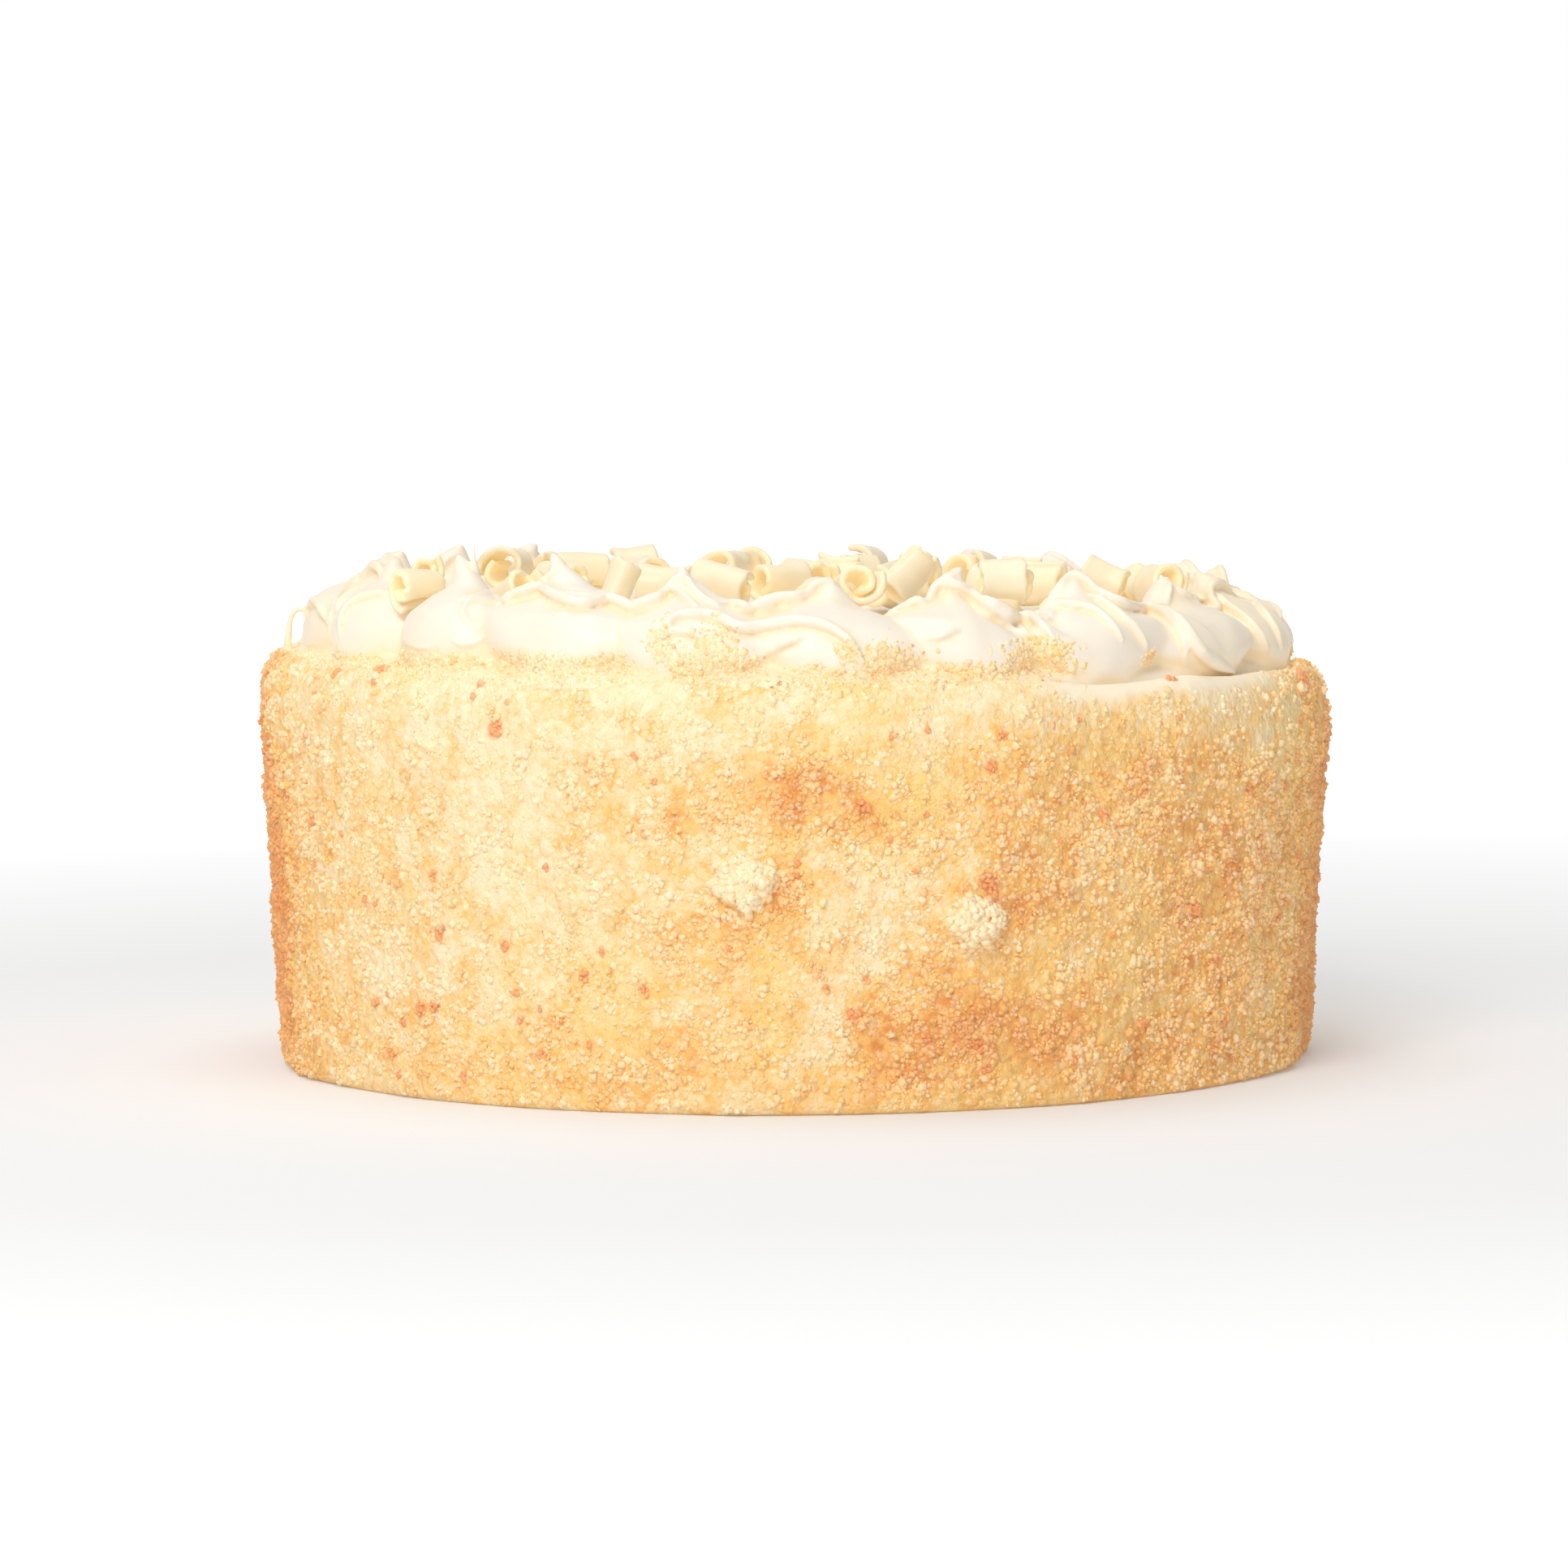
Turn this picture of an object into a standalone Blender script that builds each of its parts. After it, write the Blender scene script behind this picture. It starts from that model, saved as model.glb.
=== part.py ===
"""Build a round white chocolate mousse cake, life size, as closed solids.

A drum of sponge and mousse, coated with crumbs, carries a layer of whipped cream that is heaped up
in the middle. Piped cream dollops stand side by side round the rim, and rolled chocolate curls lie
on the heaped cream and against the dollops. Units are metres and +Z is up. The side that faces -Y
is the front, azimuths are counted from there towards +X, and the origin is the centre of the base.
"""

import math
import random
from collections import namedtuple

import bmesh
import bpy
from mathutils import Matrix, Vector
from mathutils.bvhtree import BVHTree

MM = 0.001
GAP = 0.3 * MM                    # clearance kept between pieces that touch

# The drum of crumb-coated sponge and mousse
CAKE_RADIUS = 88.3 * MM
FOOT_RADIUS = 85.2 * MM
FOOT_ROUND = 1.2 * MM
WIDEST_HEIGHT = 56.5 * MM
RIM_HEIGHT = 66.4 * MM
RIM_RADIUS = 84.4 * MM
RECESS_RADIUS = 82.6 * MM         # the cream layer lies inside the drum's rim
RECESS_FLOOR = 63.7 * MM
DRUM_STEPS = 96
SIDE_ROWS = 7
SHOULDER_ROWS = 4
FOOT_ROWS = 2
TOP_SLOPE = 0.35                  # the top sinks towards +X by this share of its height a metre

# Waves in the coat: (height, waves round the drum, twist in radians a metre, phase)
COAT_WAVES = ((0.45 * MM, 5, 0.0, 0.6), (0.35 * MM, 11, 35.0, 2.1), (0.30 * MM, 19, -70.0, 4.0))

# Large lumps of crumb in the coat: azimuth in degrees, height, radius
FRONT_LUMPS = ((-4.7, 36.6 * MM, 5.2 * MM), (18.3, 29.7 * MM, 4.8 * MM))
BACK_LUMP_COUNT = 4
BACK_LUMP_HEIGHTS = (18.0 * MM, 46.0 * MM)
BACK_LUMP_RADII = (4.0 * MM, 5.2 * MM)
BACK_LUMP_SEED = 11
LUMP_FACETS = 2
LUMP_CRAGS = (0.88, 1.10)         # least and greatest share of the radius at a corner
LUMP_CRAG_SEED = 5
LUMP_SINK = 0.42                  # share of a lump's radius that is buried in the coat

# The cream layer and the heap inside the ring of dollops
LAYER_TOP = 66.6 * MM
HEAP_FOOT = 59.0 * MM
HEAP_SHOULDER = 49.0 * MM
HEAP_RISE = 8.4 * MM
HEAP_CROWN = 1.2 * MM
HEAP_ROWS = 6
HEAP_WAVE = 0.5 * MM
HEAP_WAVES_ROUND = 6
HEAP_WAVE_TWIST = 90.0            # radians a metre outwards

# The ring of dollops
FRONT_GROOVES = (-67.7, -51.9, -35.0, -18.5, -2.6, 13.9, 27.8, 46.1, 66.1)
BACK_DOLLOPS = 14
RING_RADIUS = 72.0 * MM
DOLLOP_REACH = 12.1 * MM          # half the dollop's size across the ring
DOLLOP_WIDEN = 1.15               # how far a dollop's foot would pass its own grooves
DOLLOP_STEPS = 12
DOLLOP_ROWS = (1.0, 0.95, 0.86, 0.74, 0.63, 0.55, 0.46, 0.30, 0.14, 0.0)
DOLLOP_SEED = 23
BACK_GROOVE_SHIFT = 0.09          # how far a back groove may stray, as a share of their spacing
BACK_HEIGHTS = (15.3 * MM, 17.6 * MM)
BACK_LEAN_OUT = (-2.2 * MM, 0.6 * MM)
BACK_LEAN_SIDE = (-3.0 * MM, 3.0 * MM)
BACK_SPREADS = (0.45, 0.75)
FOOT_WIDTH = 0.90                 # a dollop's width where it stands, where 1 is its widest
BULGE_HEIGHT = 0.20               # share of the height at which a dollop is widest
CONE_POWER = 1.2                  # how fast a dollop narrows to its peak
CONE_FULLNESS = 1.1               # how far it bulges before it does
LIP_HEIGHT, LIP_WIDTH = 0.63, 0.045
CREASE_HEIGHT, CREASE_DEPTH = 0.54, 0.050
FOLD_SOFTNESS = 0.05              # share of the height over which a lip or crease fades
FOLD_TILT = 0.09
FOLD_TURNS = (-1.1, 1.1)          # radians round the dollop from outwards to the fold's high side

# The rolled curls
CURL_COUNT = 36
CURL_WALL = 1.15 * MM
CURL_PITCH = 1.5 * MM             # distance from one turn of the roll to the next
CURL_TURNS = 1.22
CURL_FACETS = 12
FIELD_RADIUS = 58.0 * MM
FIELD_SPOTS = 26
FIELD_SPACING = 10.5 * MM
FIELD_RADII = (3.4 * MM, 4.4 * MM)
FIELD_LENGTHS = (8.5 * MM, 13.0 * MM)
FIELD_SHIFT = 0.15                # radians by which a curl's azimuth may stray
FIELD_SEED = 41
ROLL_SEED = 57
TILTS = tuple(range(-28, 29, 7))
TERRAIN_STEP = 0.8 * MM
LIFT_STEP = 0.1 * MM
SKIN_COARSE = (7, 16)             # rows and columns of points that feel for the ground
SKIN_FINE = (24, 32)              # rows and columns of points that become ground
ENVELOPE_SIDES = 16
GOLDEN_ANGLE = math.pi * (3.0 - math.sqrt(5.0))

Curl = namedtuple("Curl", "x y yaw tilt radius length")
Dollop = namedtuple("Dollop", "left right height lean_out lean_side spread fold_turn")

# The dollops between the front grooves, set by eye: height, lean outwards, lean to +X, spread
FRONT_DOLLOPS = (
    (16.4 * MM, 1.0 * MM, -3.0 * MM, 0.0),
    (16.6 * MM, -0.6 * MM, -1.0 * MM, 0.05),
    (17.3 * MM, -1.0 * MM, -4.4 * MM, 0.70),
    (16.2 * MM, -1.4 * MM, -4.0 * MM, 0.74),
    (16.3 * MM, -1.0 * MM, -1.4 * MM, 0.74),
    (17.4 * MM, -1.2 * MM, -0.5 * MM, 0.66),
    (17.4 * MM, -0.8 * MM, 1.5 * MM, 0.66),
    (16.2 * MM, -1.0 * MM, 0.4 * MM, 0.60),
)

# Curls set by eye: place and size in millimetres, yaw and tilt in degrees, tilt None to find it
FRONT_CURLS = (
    Curl(-59.2, -46.3, 42.0, 0.0, 3.8, 9.0),
    Curl(-60.5, -9.0, 100.0, None, 3.9, 10.5),
    Curl(-51.5, -27.0, 18.0, -24.0, 3.2, 11.0),
    Curl(-44.5, -40.0, 128.0, None, 4.4, 10.0),
    Curl(-35.0, 8.0, 14.0, None, 4.1, 11.5),
    Curl(-27.0, -52.0, 40.0, 62.0, 3.7, 9.5),
    Curl(-20.0, -30.0, 160.0, None, 3.8, 12.5),
    Curl(-11.0, -44.0, -24.0, -12.0, 4.2, 13.0),
    Curl(-1.5, -32.0, 40.0, None, 3.7, 11.0),
    Curl(4.0, -45.0, 82.0, None, 3.3, 9.5),
    Curl(9.8, -60.5, 101.0, -12.0, 4.4, 9.0),
    Curl(15.0, -34.0, 66.0, None, 4.0, 11.0),
    Curl(18.5, -44.0, 24.0, 44.0, 4.1, 11.0),
    Curl(33.2, -58.0, 8.0, 0.0, 3.7, 7.6),
    Curl(34.0, -24.0, 150.0, None, 3.8, 12.0),
    Curl(44.0, -37.0, -14.0, None, 3.7, 11.0),
    Curl(57.5, 14.0, 58.0, None, 3.9, 10.5),
    Curl(61.5, -3.0, 108.0, None, 4.2, 10.0),
)

SPONGE_COLOUR = (0.90, 0.66, 0.34)
CREAM_COLOUR = (0.94, 0.87, 0.72)
CHOCOLATE_COLOUR = (0.93, 0.82, 0.52)


def clear_scene():
    """Remove whatever the file starts with."""
    for item in list(bpy.data.objects):
        bpy.data.objects.remove(item, do_unlink=True)


def make_collection(name):
    """Return a new collection, linked to the scene."""
    collection = bpy.data.collections.new(name)
    bpy.context.scene.collection.children.link(collection)
    return collection


def make_material(name, colour, roughness):
    """Return a plain food material."""
    material = bpy.data.materials.new(name)
    material.use_nodes = True
    shader = material.node_tree.nodes["Principled BSDF"]
    shader.inputs["Base Color"].default_value = (*colour, 1.0)
    shader.inputs["Roughness"].default_value = roughness
    shader.inputs["Metallic"].default_value = 0.0
    return material


def place_object(name, mesh, material, collection):
    """Put a finished mesh in the scene as one named piece."""
    mesh.materials.clear()
    mesh.materials.append(material)
    mesh.shade_smooth()
    mesh.set_sharp_from_angle(angle=math.radians(48.0))
    piece = bpy.data.objects.new(name, mesh)
    collection.objects.link(piece)
    return piece


def evaluated_mesh(item):
    """Return a copy of an object's mesh with its modifiers applied."""
    depsgraph = bpy.context.evaluated_depsgraph_get()
    return bpy.data.meshes.new_from_object(item.evaluated_get(depsgraph))


def turned_mesh(profile, steps):
    """Turn an outline of (radius, height) points, listed from the top down, round the Z axis."""
    outline = bpy.data.meshes.new("outline")
    points = [(radius, 0.0, height) for radius, height in profile]
    outline.from_pydata(points, [(i, i + 1) for i in range(len(points) - 1)], [])
    lathe = bpy.data.objects.new("lathe", outline)
    bpy.context.scene.collection.objects.link(lathe)
    screw = lathe.modifiers.new("turn", 'SCREW')
    screw.steps = steps
    screw.render_steps = steps
    screw.use_merge_vertices = True
    screw.merge_threshold = 0.00001
    mesh = evaluated_mesh(lathe)
    bpy.data.objects.remove(lathe, do_unlink=True)
    return mesh


def move_points(mesh, rule):
    """Move every point of a mesh to where a rule sends it."""
    for point in mesh.vertices:
        point.co = rule(point.co)
    mesh.update()


def azimuth_of(place):
    """Return a point's azimuth, counted from the front towards +X."""
    return math.atan2(place.x, -place.y)


def outward(azimuth):
    """Return the level direction that points out of the cake at an azimuth."""
    return Vector((math.sin(azimuth), -math.cos(azimuth), 0.0))


def sloped(place):
    """Sink a point towards +X, as the cake's top does."""
    return Vector((place.x, place.y, place.z * (1.0 - TOP_SLOPE * place.x)))


def coat_wave(azimuth, height):
    """Return how far the crumb coat stands out at a place on the side."""
    return sum(rise * math.sin(waves * azimuth + twist * height + phase)
               for rise, waves, twist, phase in COAT_WAVES)


# ---- the drum ----

def drum_profile():
    """Return the drum's outline from the middle of its top, over its rim, to its base."""
    points = [(0.0, RECESS_FLOOR), (RECESS_RADIUS, RECESS_FLOOR), (RECESS_RADIUS, RIM_HEIGHT - GAP)]
    for row in range(SHOULDER_ROWS + 1):
        turn = math.radians(90.0) * (1.0 - row / SHOULDER_ROWS)
        points.append((RIM_RADIUS + (CAKE_RADIUS - RIM_RADIUS) * math.cos(turn),
                       WIDEST_HEIGHT + (RIM_HEIGHT - WIDEST_HEIGHT) * math.sin(turn)))
    for row in range(1, SIDE_ROWS + 1):
        share = row / SIDE_ROWS
        points.append((CAKE_RADIUS + (FOOT_RADIUS - CAKE_RADIUS) * share,
                       WIDEST_HEIGHT + (FOOT_ROUND - WIDEST_HEIGHT) * share))
    for row in range(1, FOOT_ROWS + 1):
        turn = math.radians(90.0) * row / FOOT_ROWS
        points.append((FOOT_RADIUS - FOOT_ROUND * (1.0 - math.cos(turn)),
                       FOOT_ROUND * (1.0 - math.sin(turn))))
    points.append((0.0, 0.0))
    return points


def side_radius(height):
    """Return the drum's mean radius at a height on its straight side."""
    return FOOT_RADIUS + (CAKE_RADIUS - FOOT_RADIUS) * height / WIDEST_HEIGHT


def coated(place):
    """Move a point of the drum out by the coat's waves, then along the slope of the top."""
    radius = math.hypot(place.x, place.y)
    if radius < FOOT_RADIUS / 2.0:
        return sloped(place)
    azimuth = azimuth_of(place)
    height = place.z if radius > RECESS_RADIUS + GAP else RIM_HEIGHT
    spot = outward(azimuth) * (radius + coat_wave(azimuth, height))
    spot.z = place.z
    return sloped(spot)


def lump_places():
    """Return (azimuth, height, radius) of each large lump of crumb in the coat."""
    dice = random.Random(BACK_LUMP_SEED)
    places = [(math.radians(turn), height, radius) for turn, height, radius in FRONT_LUMPS]
    for number in range(BACK_LUMP_COUNT):
        azimuth = math.radians(90.0 + 180.0 * (number + dice.uniform(0.25, 0.75)) / BACK_LUMP_COUNT)
        places.append((azimuth, dice.uniform(*BACK_LUMP_HEIGHTS), dice.uniform(*BACK_LUMP_RADII)))
    return places


def lump_mesh(azimuth, height, radius, dice):
    """Return a craggy ball of crumb, half buried in the coat."""
    form = bmesh.new()
    bmesh.ops.create_icosphere(form, subdivisions=LUMP_FACETS, radius=radius)
    middle = outward(azimuth) * (side_radius(height) - LUMP_SINK * radius)
    middle.z = height
    for point in form.verts:
        point.co = middle + point.co * dice.uniform(*LUMP_CRAGS)
    mesh = bpy.data.meshes.new("lump")
    form.to_mesh(mesh)
    form.free()
    return mesh


def build_drum(material, collection):
    """Build the solid drum, with its waves and its lumps of crumb fused on."""
    mesh = turned_mesh(drum_profile(), DRUM_STEPS)
    move_points(mesh, coated)
    drum = place_object("cake_body", mesh, material, collection)
    lumps = make_collection("lumps")
    dice = random.Random(LUMP_CRAG_SEED)
    for place in lump_places():
        lumps.objects.link(bpy.data.objects.new("lump", lump_mesh(*place, dice)))
    union = drum.modifiers.new("lumps", 'BOOLEAN')
    union.operation = 'UNION'
    union.operand_type = 'COLLECTION'
    union.collection = lumps
    union.solver = 'EXACT'
    drum.data = evaluated_mesh(drum)
    drum.modifiers.clear()
    for lump in list(lumps.objects):
        bpy.data.objects.remove(lump, do_unlink=True)
    bpy.data.collections.remove(lumps)
    return drum


# ---- the cream layer ----

def cream_height(radius):
    """Return the height of the cream layer's top at a distance from the middle."""
    share = min(max((HEAP_FOOT - radius) / (HEAP_FOOT - HEAP_SHOULDER), 0.0), 1.0)
    rise = HEAP_RISE * share * share * (3.0 - 2.0 * share)
    crown = HEAP_CROWN * max(0.0, 1.0 - (radius / HEAP_SHOULDER) ** 2)
    return LAYER_TOP + rise + crown


def layer_profile():
    """Return the cream layer's outline: the heap, the flat rim, the edge and the base."""
    base = RECESS_FLOOR + GAP
    edge = RECESS_RADIUS - GAP
    points = [(0.0, cream_height(0.0))]
    for row in range(1, HEAP_ROWS + 1):
        radius = HEAP_FOOT * math.sqrt(row / HEAP_ROWS)
        points.append((radius, cream_height(radius)))
    return points + [(edge, LAYER_TOP), (edge, base), (0.0, base)]


def spread_cream(place):
    """Fit the layer's edge to the rim, make the heap uneven, and follow the slope of the top."""
    radius = math.hypot(place.x, place.y)
    azimuth = azimuth_of(place)
    spot = place.copy()
    if radius > HEAP_FOOT + GAP:
        spot += outward(azimuth) * coat_wave(azimuth, RIM_HEIGHT)
    elif place.z > LAYER_TOP + GAP:
        wave = math.sin(HEAP_WAVES_ROUND * azimuth + HEAP_WAVE_TWIST * radius)
        spot.z += HEAP_WAVE * wave * radius / HEAP_FOOT
    return sloped(spot)


def build_layer(material, collection):
    """Build the layer of whipped cream that covers the drum's top."""
    mesh = turned_mesh(layer_profile(), DRUM_STEPS)
    move_points(mesh, spread_cream)
    return place_object("cream_layer", mesh, material, collection)


# ---- the dollops ----

def plan_dollops():
    """Return every dollop: its grooves, size, lean, spread at mid height and turn of its fold."""
    first = FRONT_GROOVES[-1]
    step = (360.0 + FRONT_GROOVES[0] - first) / BACK_DOLLOPS
    dice = random.Random(DOLLOP_SEED)
    grooves = list(FRONT_GROOVES)
    for number in range(1, BACK_DOLLOPS):
        shift = dice.uniform(-BACK_GROOVE_SHIFT, BACK_GROOVE_SHIFT)
        grooves.append(first + step * (number + shift))
    grooves.append(FRONT_GROOVES[0] + 360.0)
    dollops = []
    for number, (left, right) in enumerate(zip(grooves, grooves[1:])):
        ranges = (BACK_HEIGHTS, BACK_LEAN_OUT, BACK_LEAN_SIDE, BACK_SPREADS)
        shape = [dice.uniform(*ends) for ends in ranges]
        if number < len(FRONT_DOLLOPS):
            shape = FRONT_DOLLOPS[number]
        dollops.append(Dollop(math.radians(left), math.radians(right), *shape,
                              dice.uniform(*FOLD_TURNS)))
    return dollops


def dollop_width(share):
    """Return a dollop's width at a share of its height, where 1 is the widest: bulb, fold, peak."""
    if share < BULGE_HEIGHT:
        return FOOT_WIDTH + (1.0 - FOOT_WIDTH) * math.sin(math.pi / 2.0 * share / BULGE_HEIGHT)
    rise = (share - BULGE_HEIGHT) / (1.0 - BULGE_HEIGHT)
    cone = (1.0 - rise) ** CONE_POWER * (1.0 + CONE_FULLNESS * rise)
    lip = LIP_WIDTH * math.exp(-((share - LIP_HEIGHT) / FOLD_SOFTNESS) ** 2)
    crease = CREASE_DEPTH * math.exp(-((share - CREASE_HEIGHT) / FOLD_SOFTNESS) ** 2)
    return cone + lip - crease


def shape_dollop(mesh, dollop):
    """Stretch a turned dollop of size one to its size, lean its peak, tilt its fold and place it."""
    middle = (dollop.left + dollop.right) / 2.0
    out = outward(middle)
    side = outward(middle + math.radians(90.0))
    half_width = RING_RADIUS * math.sin((dollop.right - dollop.left) / 2.0)
    base = LAYER_TOP + GAP

    def shaped(place):
        share = place.z
        turn = math.atan2(-place.x, place.y)
        raised = share + FOLD_TILT * math.sin(math.pi * share) * math.cos(turn - dollop.fold_turn)
        widen = DOLLOP_WIDEN + dollop.spread * math.sin(math.pi * share)
        across = -place.x * half_width * widen + dollop.lean_side * share ** 2
        along = RING_RADIUS + place.y * DOLLOP_REACH + dollop.lean_out * share ** 2
        spot = out * along + side * across
        spot.z = base + dollop.height * (raised if share < 1.0 else share)
        return sloped(spot)

    move_points(mesh, shaped)


def cut_at_groove(form, azimuth, inward_side):
    """Cut a dollop off where it meets its neighbour, and close the cut."""
    normal = outward(azimuth + math.radians(90.0)) * inward_side
    parts = form.verts[:] + form.edges[:] + form.faces[:]
    cut = bmesh.ops.bisect_plane(form, geom=parts, dist=0.00001, plane_co=normal * GAP / 2.0,
                                 plane_no=normal, clear_inner=True)
    edges = [item for item in cut["geom_cut"] if isinstance(item, bmesh.types.BMEdge)]
    bmesh.ops.holes_fill(form, edges=edges, sides=0)


def build_dollop(name, dollop, material, collection):
    """Build one piped dollop between its two grooves."""
    rows = [(dollop_width(share) if share < 1.0 else 0.0, share) for share in DOLLOP_ROWS]
    mesh = turned_mesh(rows + [(0.0, 0.0)], DOLLOP_STEPS)
    shape_dollop(mesh, dollop)
    form = bmesh.new()
    form.from_mesh(mesh)
    cut_at_groove(form, dollop.left, 1.0)
    cut_at_groove(form, dollop.right, -1.0)
    form.to_mesh(mesh)
    form.free()
    return place_object(name, mesh, material, collection)


# ---- the curls ----

def roll_outline(radius):
    """Return the outline of a rolled shaving seen from its end, as a thick spiral."""
    outer, inner = [], []
    for number in range(CURL_FACETS + 1):
        turn = math.tau * CURL_TURNS * number / CURL_FACETS
        reach = radius - CURL_PITCH * turn / math.tau
        outer.append((reach * math.cos(turn), reach * math.sin(turn)))
        inner.append(((reach - CURL_WALL) * math.cos(turn), (reach - CURL_WALL) * math.sin(turn)))
    return outer + inner[::-1]


def curl_mesh(curl):
    """Return a rolled curl that lies along Z round its own middle."""
    curve = bpy.data.curves.new("roll", 'CURVE')
    curve.dimensions = '2D'
    curve.fill_mode = 'BOTH'
    curve.extrude = curl.length / 2.0
    outline = roll_outline(curl.radius)
    spline = curve.splines.new('POLY')
    spline.points.add(len(outline) - 1)
    for point, (x, y) in zip(spline.points, outline):
        point.co = (x, y, 0.0, 1.0)
    spline.use_cyclic_u = True
    roll = bpy.data.objects.new("roll", curve)
    bpy.context.scene.collection.objects.link(roll)
    mesh = evaluated_mesh(roll)
    bpy.data.objects.remove(roll, do_unlink=True)
    form = bmesh.new()
    form.from_mesh(mesh)
    bmesh.ops.remove_doubles(form, verts=form.verts, dist=0.00001)
    bmesh.ops.recalc_face_normals(form, faces=form.faces)
    form.to_mesh(mesh)
    form.free()
    return mesh


def curl_turn(yaw, tilt, roll):
    """Return the rotation that lays a curl down along its yaw, tips it and rolls it."""
    return (Matrix.Rotation(yaw, 4, 'Z') @ Matrix.Rotation(math.radians(90.0) - tilt, 4, 'Y')
            @ Matrix.Rotation(roll, 4, 'Z'))


def skin_points(radius, length, turn, grid):
    """Return a grid of points spread over a curl's round outside, about its middle."""
    rows, facets = grid
    points = []
    for row in range(rows):
        along = length * (row / (rows - 1.0) - 0.5)
        for facet in range(facets):
            angle = math.tau * facet / facets
            spot = Vector((radius * math.cos(angle), radius * math.sin(angle), along))
            points.append(turn @ spot)
    return points


class Terrain:
    """What lies below a curl that is put down: a grid of heights, and the true surfaces."""

    def __init__(self, pieces):
        half = math.ceil(CAKE_RADIUS / TERRAIN_STEP)
        ceiling = 2.0 * LAYER_TOP
        self.trees = [self.tree_of(piece.data, Matrix()) for piece in pieces]
        self.heights = {}
        for column in range(-half, half + 1):
            for row in range(-half, half + 1):
                origin = Vector((column * TERRAIN_STEP, row * TERRAIN_STEP, ceiling))
                self.heights[column, row] = self.highest(origin)

    @staticmethod
    def tree_of(mesh, placing):
        """Return a search tree of a mesh's faces, put in place."""
        form = bmesh.new()
        form.from_mesh(mesh)
        form.transform(placing)
        tree = BVHTree.FromBMesh(form)
        form.free()
        return tree

    def highest(self, origin):
        """Return the highest surface below a point, or zero."""
        hits = [tree.ray_cast(origin, Vector((0.0, 0.0, -1.0)))[0] for tree in self.trees]
        return max([hit.z for hit in hits if hit], default=0.0)

    def height_at(self, x, y):
        """Return the height of the ground at a place, between the grid's points."""
        column, row = x / TERRAIN_STEP, y / TERRAIN_STEP
        left, front = math.floor(column), math.floor(row)
        right_share, back_share = column - left, row - front
        total = 0.0
        for step_x, share_x in ((0, 1.0 - right_share), (1, right_share)):
            for step_y, share_y in ((0, 1.0 - back_share), (1, back_share)):
                total += share_x * share_y * self.heights.get((left + step_x, front + step_y), 0.0)
        return total

    def resting_height(self, x, y, points):
        """Return the height at which a shape's middle comes to rest over a place."""
        return max(self.height_at(x + p.x, y + p.y) - p.z for p in points)

    def touches(self, mesh, placing):
        """Say whether a mesh in a place cuts any surface."""
        tree = self.tree_of(mesh, placing)
        return any(tree.overlap(other) for other in self.trees)

    def add_curl(self, piece, points, middle):
        """Count a curl that has been put down as ground for the next ones."""
        self.trees.append(self.tree_of(piece.data, piece.matrix_world))
        for point in points:
            spot = middle + point
            cell = (round(spot.x / TERRAIN_STEP), round(spot.y / TERRAIN_STEP))
            self.heights[cell] = max(self.heights.get(cell, 0.0), spot.z)


def envelope_mesh(radius, length):
    """Return a plain cylinder that holds a curl and the gap round it."""
    form = bmesh.new()
    bmesh.ops.create_cone(form, cap_ends=True, segments=ENVELOPE_SIDES, radius1=radius + GAP,
                          radius2=radius + GAP, depth=length + 2.0 * GAP)
    mesh = bpy.data.meshes.new("envelope")
    form.to_mesh(mesh)
    form.free()
    return mesh


def settle(terrain, curl, roll):
    """Return the placing of a curl at rest: at its own tilt, or the one at which it lies lowest."""
    tilts = TILTS if curl.tilt is None else (curl.tilt,)
    choices = []
    for tilt in tilts:
        turn = curl_turn(math.radians(curl.yaw), math.radians(tilt), roll)
        points = skin_points(curl.radius + GAP, curl.length + 2.0 * GAP, turn, SKIN_COARSE)
        choices.append((terrain.resting_height(curl.x, curl.y, points), tilt, turn))
    height, _, turn = min(choices, key=lambda choice: choice[:2])
    envelope = envelope_mesh(curl.radius, curl.length)
    placing = Matrix.Translation((curl.x, curl.y, height)) @ turn
    while terrain.touches(envelope, placing):
        height += LIFT_STEP
        placing = Matrix.Translation((curl.x, curl.y, height)) @ turn
    bpy.data.meshes.remove(envelope)
    return placing


def plan_curls():
    """Return every curl: those set by eye, then those strewn over the heap by a rule."""
    dice = random.Random(FIELD_SEED)
    curls = [Curl(c.x * MM, c.y * MM, c.yaw, c.tilt, c.radius * MM, c.length * MM)
             for c in FRONT_CURLS]
    for number in range(FIELD_SPOTS):
        reach = FIELD_RADIUS * math.sqrt((number + 0.5) / FIELD_SPOTS)
        turn = GOLDEN_ANGLE * number + dice.uniform(-FIELD_SHIFT, FIELD_SHIFT)
        spot = Vector((reach * math.cos(turn), reach * math.sin(turn)))
        near = min((spot - Vector((c.x, c.y))).length for c in curls)
        sizes = dice.uniform(*FIELD_RADII), dice.uniform(*FIELD_LENGTHS)
        yaw = dice.uniform(0.0, 180.0)
        if near > FIELD_SPACING:
            curls.append(Curl(spot.x, spot.y, yaw, None, *sizes))
    return curls[:CURL_COUNT]


def build_curls(cream, material, collection):
    """Put the curls down one after another, each on the cream and on the curls below it."""
    terrain = Terrain(cream)
    dice = random.Random(ROLL_SEED)
    for number, curl in enumerate(plan_curls(), start=1):
        roll = dice.uniform(0.0, math.tau)
        placing = settle(terrain, curl, roll)
        name = f"chocolate_curl_{number:02d}"
        piece = place_object(name, curl_mesh(curl), material, collection)
        piece.matrix_world = placing
        bpy.context.view_layer.update()
        points = skin_points(curl.radius, curl.length, placing.to_3x3(), SKIN_FINE)
        terrain.add_curl(piece, points, placing.translation)


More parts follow.
